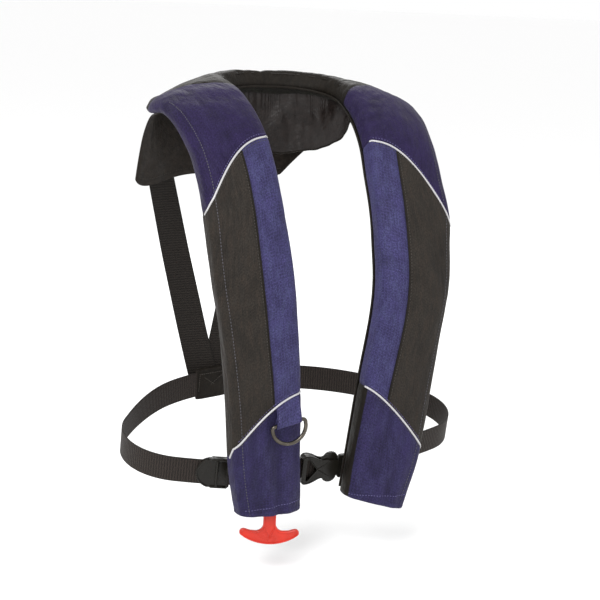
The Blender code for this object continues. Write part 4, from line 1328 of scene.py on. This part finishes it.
def back_patch():
    """The flat sleeve round the belt where the back straps end, quilted by its stitches."""
    angle = math.asin((HARNESS_X - BELT_X) / BACK_R)
    out = Vector((math.sin(angle), math.cos(angle)))
    spot = Vector((BELT_X, BACK_CENTRE)) + out * BACK_R
    side = Vector((out.y, -out.x))
    outline = []
    for k in range(40):
        turn = math.tau * k / 40
        z = 19.3 * max(-1.0, min(1.0, 1.12 * math.sin(turn)))
        y = 2.6 * max(-1.0, min(1.0, 1.9 * math.cos(turn)))
        outline.append((z, y))
    rings = []
    uvs = []
    seams = []
    for i in range(29):
        x = -23.6 + 47.2 * i / 28
        ring = []
        rim = near(min(i, 28 - i) - 2.0, 0.9)
        flat = 0.45 + 0.55 * (1 - (2 * i / 28 - 1) ** 6)
        for z, y in outline:
            sewn = near(abs(z) - 15.5, 1.2)
            thick = y * flat * (1.25 - 0.25 * max(rim, sewn)) - 0.4
            soft = 0.25 * ripple(x * 0.15, z * 0.15, y)
            p = spot + side * x + out * (thick + soft)
            ring.append(belt_world(p.x, p.y, z))
            uvs.append((x, z))
            # Painted shade along the rims and the stitched lines.
            seams.append(max(rim, sewn) * 0.7)
        rings.append(ring)
    obj = loft("patch_sleeve", rings, BLACK, uvs=uvs, seams=seams, angle=70)
    subdivide(obj)
    stand_in(obj, "lining_black", "back_patch")
    turn = BELT_FRAME.to_3x3()
    across = turn @ Vector((side.x, side.y, 0))
    along = turn @ Vector((0, 0, 1))
    for name, face, lift in (("inner", -1, 3.75), ("outer", 1, 2.95)):
        normal = turn @ Vector((out.x, out.y, 0)) * face
        centre = belt_world(spot.x, spot.y, 0) + normal * lift
        box_stitch(f"patch_{name}_stitch", centre, across, along, normal, (20.0, 14.6))


back_patch()


# ---------------------------------------------------------------- D-ring and tab
RING_CENTRE = Vector((-59.0, -162.6, -349.0))
RING_FRAME = Matrix.Translation(RING_CENTRE) @ Matrix.Rotation(math.radians(-12), 4, "Y")


def on_cover(x, z):
    """The (station, share) of the right lobe's front point with this x and height."""
    share = 0.3
    t = 3.0
    for _ in range(12):
        t = station_at_height(z, share, 0, SHOULDER)
        inner, across, width, _ = section(t)
        share = unit((x - inner.x) / (across.x * width))
    return t, share


def arc(centre, radius, start, turn, count, first=0):
    """Points on a 2D arc in steps: from start, turning by so many degrees in all."""
    line = []
    for k in range(first, count + 1):
        angle = math.radians(start + turn * k / count)
        line.append((centre[0] + radius * math.cos(angle), centre[1] + radius * math.sin(angle)))
    return line


def ring():
    """The ring's wire: a straight bar with small corners, and half an oval below it."""
    half = 20.0
    corner = 3.5
    right = arc((half - corner, -corner), corner, 90, -90, 6, 1)
    path = [(x, 0.0) for x in np.linspace(-half + corner, half - corner, 9)] + right
    for k in range(1, 32):
        angle = math.pi * k / 32
        path.append((half * math.cos(angle), -5.0 - 19.0 * math.sin(angle)))
    path += [(-x, z) for x, z in reversed(right)]
    points = [RING_FRAME @ Vector((x, 0, z)) for x, z in path]
    wire = tube("d_ring_wire", points, 2.2, RING_METAL, closed=True, sides=16, body="ring")
    stand_in(wire, "ring_steel", "d_ring")


def ring_tab():
    """A blue cloth tab folded round the ring's bar and sewn in at the piping."""
    rows = []
    seams = []
    count = 24
    law = SIDES["right"]["lower"]
    wrap = 3.15
    for i in range(count + 1):
        x = -15.0 + 30.0 * i / count
        bar = RING_FRAME @ Vector((x, 0, 0))
        top_z = -322.5
        for _ in range(8):
            _, share = on_cover(bar.x, top_z)
            top_z = law[0] + law[1] * share ** law[2] - 0.5
        t, share = on_cover(bar.x, top_z)
        start = cover_point(t, share, 0, 0.2)
        pleat = 0.55 * math.sin(x * 1.25 + 0.8) + 0.3 * math.sin(x * 2.9)
        row = []
        for k in range(13):
            drop = k / 13
            p = start.lerp(bar + Vector((0, -3.1, 1.0)), drop)
            p.y -= 1.5 * math.sin(math.pi * drop) ** 0.7 + pleat * math.sin(math.pi * drop) * 0.8
            row.append(p)
        row += [bar + Vector((0, y, z)) for y, z in arc((0, 0), wrap, 180, 180, 10)]
        row += [bar + Vector((0, wrap - 0.3 * k, 1.3 * k)) for k in range(1, 8)]
        rows.append(row)
        rim = max(near(i, 1.3), near(count - i, 1.3))
        # Painted shade along the tab's edges and near its sewn top.
        seams += [0.7 * max(rim, near(k * 2.2, 2.5)) for k in range(len(row))]
    obj = grid_piece("ring_tab_cloth", rows, BLUE, seams=seams, flip=True, angle=80)
    thicken(obj, 0.9, 0.0)
    stand_in(obj, "ripstop_blue", "d_ring_tab")
    front = Vector((0, -1, 0))
    for name, i in (("left", 2), ("right", count - 2)):
        line = [(p + front * 0.55, front) for p in rows[i][1:12]]
        stitches("ring_tab_stitch_" + name, line, THREAD_BLUE, wide=0.5)


ring()
ring_tab()


# ---------------------------------------------------------------- moulded hardware
def outline_plate(name, loops, low, high, mat, place, body, round_off):
    """A flat plate through closed 2D loops (the first outer, the rest holes), between two depths."""
    curve = bpy.data.curves.new(name, "CURVE")
    curve.dimensions = "2D"
    curve.fill_mode = "BOTH"
    curve.extrude = (high - low) / 2
    for loop in loops:
        line = curve.splines.new("POLY")
        line.points.add(len(loop) - 1)
        for point, (x, y) in zip(line.points, loop):
            point.co = (x, y, 0, 1)
        line.use_cyclic_u = True
    holder = link(bpy.data.objects.new(name + "_curve", curve))
    bpy.context.view_layer.update()
    flat = bpy.data.meshes.new_from_object(holder.evaluated_get(bpy.context.evaluated_depsgraph_get()))
    bpy.data.objects.remove(holder)
    shape = bmesh.new()
    shape.from_mesh(flat)
    bmesh.ops.remove_doubles(shape, verts=shape.verts, dist=0.01)
    bmesh.ops.recalc_face_normals(shape, faces=shape.faces)
    bmesh.ops.dissolve_limit(shape, angle_limit=0.01, verts=shape.verts, edges=shape.edges)
    flat = bpy.data.meshes.new(name + "_flat")
    shape.to_mesh(flat)
    shape.free()
    middle = (low + high) / 2
    verts = [place(v.co.x, v.co.y, v.co.z + middle) for v in flat.vertices]
    faces = [tuple(p.vertices) for p in flat.polygons]
    obj = piece(name, verts, faces, mat, body=body, angle=30)
    bpy.data.meshes.remove(flat)
    bevel(obj, round_off)
    return obj


def round_loop(points, radius):
    """A closed 2D loop with its corners rounded off."""
    loop = []
    count = len(points)
    for i, corner in enumerate(points):
        corner = Vector(corner)
        back = Vector(points[i - 1]) - corner
        ahead = Vector(points[(i + 1) % count]) - corner
        reach = min(radius, back.length * 0.45, ahead.length * 0.45)
        a = corner + back.normalized() * reach
        b = corner + ahead.normalized() * reach
        for k in range(6):
            u = k / 5
            loop.append(tuple(a * (1 - u) ** 2 + corner * (2 * u * (1 - u)) + b * u * u))
    return loop


def front_place(x, z, out):
    """A point of the buckle's frame: x across, z up the belt, out towards the front."""
    return belt_world(x, FRONT_Y - out, z)


class Moulding:
    """A moulded piece: plates and ridges in one place and finish, joined in the end."""

    def __init__(self, mat, place, body):
        self.mat = mat
        self.place = place
        self.body = body
        self.parts = []

    def plate(self, loops, low, high, round_off):
        name = f"plate_{len(self.parts)}"
        plate = outline_plate(name, loops, low, high, self.mat, self.place, self.body, round_off)
        self.parts.append(plate)

    def ridge(self, line, radius, sides=8):
        path = [self.place(*p) for p in line]
        self.parts.append(tube("ridge", path, radius, self.mat, sides=sides, body=self.body))

    def finish(self, name, slot, node):
        """Joins the parts as one piece, with their modifiers applied."""
        graph = bpy.context.evaluated_depsgraph_get()
        verts = []
        faces = []
        for part in self.parts:
            mesh = bpy.data.meshes.new_from_object(part.evaluated_get(graph))
            start = len(verts)
            verts += [part.matrix_world @ v.co / MM for v in mesh.vertices]
            faces += [tuple(start + i for i in p.vertices) for p in mesh.polygons]
            bpy.data.meshes.remove(mesh)
        for part in self.parts:
            bpy.data.objects.remove(part)
        stand_in(piece(name, verts, faces, self.mat, body=self.body, angle=32), slot, node)


def buckle_socket():
    """The female half: flared frame with a webbing bar and window, waist, and X ridges."""
    half = [(-16, 0), (-16, 15.5), (-13, 18.4), (-7, 18.2), (0, 15.6), (5, 12.6), (10, 11.2)]
    half += [(15, 12.4), (20, 10.6), (27.5, 9.8), (29.4, 7.6), (29.4, 0)]
    shape = half[1:-1] + [(x, -z) for x, z in reversed(half[1:-1])]
    window = [(-10.6, -13.4), (-8.2, -13.4), (1.6, -1.2), (1.6, 1.2), (-8.2, 13.4), (-10.6, 13.4)]
    rail = [(-16, 15.0), (-13, 18.2), (-7, 18.0), (0, 15.4), (0, 12.0), (-8.6, 13.6), (-16, 13.6)]
    rim = [(-15.6, 14.2, 5.3), (-12.6, 16.9, 5.4), (-7.2, 16.7, 5.4), (0, 14.1, 5.4), (5.5, 11.1, 5.2)]
    near_arm = [(-9.4, 15.6, 5.2), (-4, 8.9, 5.45), (2.8, 0.6, 5.5)]
    far_arm = [(2.8, 0.0, 5.5), (9.5, 4.2, 5.5), (17, 9.6, 5.3), (21, 10.2, 4.6)]
    socket = Moulding(PLASTIC, front_place, "jacket")
    for low, high in ((3.1, 5.4), (-5.4, -3.1)):
        socket.plate([round_loop(shape, 3.0), round_loop(window, 1.6)], low, high, 0.9)
    for sign in (1, -1):
        socket.plate([round_loop([(x, z * sign) for x, z in rail], 1.0)], -4.2, 4.2, 0.5)
    socket.ridge([(-13.6, z, 2.2) for z in np.linspace(-16, 16, 9)], 1.9, 12)
    for sign in (1, -1):
        for line, radius in ((rim, 0.75), (near_arm, 0.75), (far_arm, 0.7)):
            socket.ridge([(x, z * sign, out) for x, z, out in line], radius)
    socket.finish("socket_shell", "acetal_black", "buckle_socket")


def buckle_plug():
    """The male half: a base with a webbing bar, and a guide tongue between the prongs."""
    base = [(31, -2.2), (31, -13.2), (33, -14.4), (43.6, -14.6), (45.2, -13)]
    base += [(45.2, 13), (43.6, 14.6), (33, 14.4), (31, 13.2), (31, 2.2), (4, 2.1), (2, 0), (4, -2.1)]
    window = [(35.4, -12.4), (38.2, -12.4), (38.2, 12.4), (35.4, 12.4)]
    slit = [(42.2, -12.4), (43.4, -12.4), (43.4, 12.4), (42.2, 12.4)]
    plug = Moulding(PLASTIC, front_place, "plug")
    loops = [round_loop(base, 1.4), round_loop(window, 0.8), round_loop(slit, 0.5)]
    plug.plate(loops, -2.5, 2.5, 0.6)
    for sign in (1, -1):
        plug.ridge([(x, 13.6 * sign, 2.3) for x in (32.5, 36, 40, 44)], 0.9)
    plug.finish("plug_body", "acetal_black", "buckle_plug")


def prongs():
    """The two spring prongs, each with a rounded press pad and fine grip ridges."""
    root_x = 28.5
    root_z = 8.5
    for level, sign in (("upper", 1), ("lower", -1)):
        arm = [(-20.5, -1.2), (-17.5, -3.6), (1.3, -2.4), (1.3, 2.0), (0.9, 3.4)]
        for k in range(15):
            angle = math.radians(22 + 128 * k / 14)
            arm.append((-8 + 9.4 * math.cos(angle), 1.4 + 9.2 * math.sin(angle)))
        arm += [(-17.5, 5.3), (-20.3, 2.6)]
        prong = Moulding(PLASTIC, front_place, "prong_" + level)
        prong.plate([[(root_x + x, (root_z + z) * sign) for x, z in arm]], -2.45, 2.45, 0.9)
        for k in range(6):
            angle = math.radians(50 + 16 * k)
            x = root_x - 8 + 9.3 * math.cos(angle)
            z = (root_z + 1.4 + 9.1 * math.sin(angle)) * sign
            prong.ridge([(x, z, out) for out in (-1.9, 0, 1.9)], 0.42, 6)
        prong.finish(level + "_prong_arm", "acetal_black", level + "_prong")


buckle_socket()
buckle_plug()
prongs()


def adjuster():
    """The slide adjuster: two plates with a rounded tongue round the webbing, and a raised bar."""
    spin = Matrix.Rotation(math.asin((-114.0 - BELT_X) / FRONT_R), 2)

    def place(x, z, out):
        p = spin @ Vector((x, -FRONT_R - out))
        return belt_world(BELT_X + p.x, FRONT_CENTRE + p.y, z)

    tongue = [(16.6, -16.0), (16.6, 16.0), (13.8, 18.8), (-4, 18.8)]
    for k in range(1, 24):
        turn = math.radians(90 + 180 * k / 24)
        squeeze = 1 - 0.06 * math.sin(turn) ** 2
        tongue.append((-4 + 18.6 * math.cos(turn), 18.8 * math.sin(turn) * squeeze))
    tongue += [(-4, -18.8), (13.8, -18.8)]
    slide = Moulding(PLASTIC, place, "slider")
    for low, high in ((2.0, 3.7), (-3.7, -2.0)):
        slide.plate([tongue], low, high, 0.7)
    for sign in (1, -1):
        rail = [(-9, 16.5 * sign), (14.6, 16.5 * sign), (14.6, 18.6 * sign), (-9, 18.2 * sign)]
        slide.plate([rail], -2.6, 2.6, 0.4)
        slide.ridge([(x, 17.0 * sign, 4.1) for x in np.linspace(-5, 14, 8)], 1.35)
    slide.ridge([(1.5, z, 4.4) for z in np.linspace(-16.2, 16.2, 12)], 1.7, 12)
    slide.ridge([(13.6, z, 3.6) for z in np.linspace(-15.6, 15.6, 12)], 1.0, 12)
    slide.ridge([(x, z, 3.8) for x, z in arc((-4, 0), 17.2, 105, 150, 24)], 1.0)
    slide.finish("adjuster_plates", "acetal_black", "adjuster")


adjuster()


def handle_place(x, z, out):
    """A point of the handle's frame: x across its face, which is turned a little outwards."""
    turn = math.radians(-20)
    across = x * math.cos(turn) + out * math.sin(turn)
    ahead = x * math.sin(turn) - out * math.cos(turn)
    return Vector((HANDLE_X + across, HANDLE_Y + ahead, z))


def handle_outline(inset):
    """The T's outline, inset by so many mm: stem, hollow shoulder, wing's tip, curved foot."""
    low = HANDLE_LOW
    line = [(7.2 - inset, HANDLE_TOP + 0.5), (7.2 - inset, low + 24)]
    line += arc((15.8, low + 24.4), 8.6 + inset, 184, 78, 8)
    line += [(22, low + 16.2 - inset), (27, low + 17.8 - inset)]
    line += arc((29.4, low + 13.9), 4.4 - inset, 105, -150, 10)
    line += [(x * 1.06, z) for x, z in arc((0, low + 50), 50.0 - inset, -58, -32, 12)]
    return line + [(-x, z) for x, z in reversed(line[:-1])]


def pull_handle():
    """The T handle: stem, swept wings, a raised rim and a V on its face."""
    handle = Moulding(RED, handle_place, "handle")
    handle.plate([handle_outline(0.0)], -1.8, 1.8, 0.9)
    for out in (1.75, -1.75):
        handle.ridge([(x, z, out) for x, z in handle_outline(1.3)], 1.05)
    for sign in (1, -1):
        arm = [(5.6 * sign, HANDLE_LOW + 19.5, 1.8), (0.3 * sign, HANDLE_LOW + 8.0, 1.8)]
        handle.ridge(arm, 0.8)
    handle.finish("handle_tee", "handle_red", "pull_handle")


pull_handle()


# ---------------------------------------------------------------- inside the covers
INSIDE = {
    "manifold_stud": PLASTIC_DULL,
    "manifold_nut": PLASTIC_DULL,
    "inflator_body": PLASTIC_DULL,
    "co2_cylinder": PLATED,
    "firing_pin": PLATED,
    "trip_lever": PLASTIC_DULL,
    "lever_pin": PLATED,
    "sensor_cap": YELLOW,
    "lanyard": RED,
    "oral_tube": RUBBER,
    "oral_valve": PLASTIC_DULL,
    "valve_poppet": RED,
    "dust_cap": RUBBER,
}
for node, mat in INSIDE.items():
    for holder in frame["nodes"][node].material_slots:
        holder.material = mat


# ---------------------------------------------------------------- stage
for obj in list(bpy.context.scene.objects):
    if "body" in obj and obj.parent is None:
        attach(obj, obj["body"])
        del obj["body"]


def floor():
    bpy.ops.mesh.primitive_plane_add(size=120.0, location=(0, 0, -0.535))
    ground = bpy.context.active_object
    ground.name = "floor"
    n = Nodes("floor_pale")
    grain = n.noise(n.spot(), 40.0, 2.0)
    n.shade = n.mix(grain, (0.96, 0.96, 0.96), (0.99, 0.99, 0.99))
    ground.data.materials.append(n.finish(0.9))


def light(name, place, target, size, power):
    data = bpy.data.lights.new(name, "AREA")
    data.shape = "DISK"
    data.size = size
    data.energy = power
    lamp = link(bpy.data.objects.new(name, data))
    lamp.location = place
    lamp.rotation_euler = (Vector(target) - Vector(place)).to_track_quat("-Z", "Y").to_euler()


def camera():
    """Three-quarter view from the wearer's right, a little above, with a slight roll."""
    azimuth = math.radians(-24.03)
    elevation = math.radians(11.92)
    roll = math.radians(2.703)
    reach = 1.7537
    target = Vector((0.0202, 0.0, -0.2482))
    ahead = Vector((
        -math.sin(azimuth) * math.cos(elevation),
        math.cos(azimuth) * math.cos(elevation),
        -math.sin(elevation),
    ))
    right = Vector((math.cos(azimuth), math.sin(azimuth), 0))
    up = right.cross(ahead)
    side = right * math.cos(roll) + up * math.sin(roll)
    top = up * math.cos(roll) - right * math.sin(roll)
    data = bpy.data.cameras.new("camera")
    data.lens = 87.1
    data.sensor_width = 36.0
    data.clip_end = 300.0
    cam = link(bpy.data.objects.new("camera", data))
    turn = Matrix((side, top, -ahead)).transposed()
    cam.matrix_world = Matrix.Translation(target - ahead * reach) @ turn.to_4x4()
    bpy.context.scene.camera = cam


floor()
camera()
light("key", (-1.5, -1.5, 1.7), (0, 0, -0.2), 1.5, 60)
light("fill", (1.6, -1.8, 0.6), (0, 0, -0.25), 1.6, 10)
light("rim", (0.6, 2.0, 1.2), (0, 0, -0.2), 1.2, 16)
world = bpy.data.worlds.new("studio")
world.use_nodes = True
world.node_tree.nodes["Background"].inputs["Color"].default_value = (1, 1, 1, 1)
world.node_tree.nodes["Background"].inputs["Strength"].default_value = 1.0
bpy.context.scene.world = world
bpy.context.scene.view_settings.view_transform = "Standard"
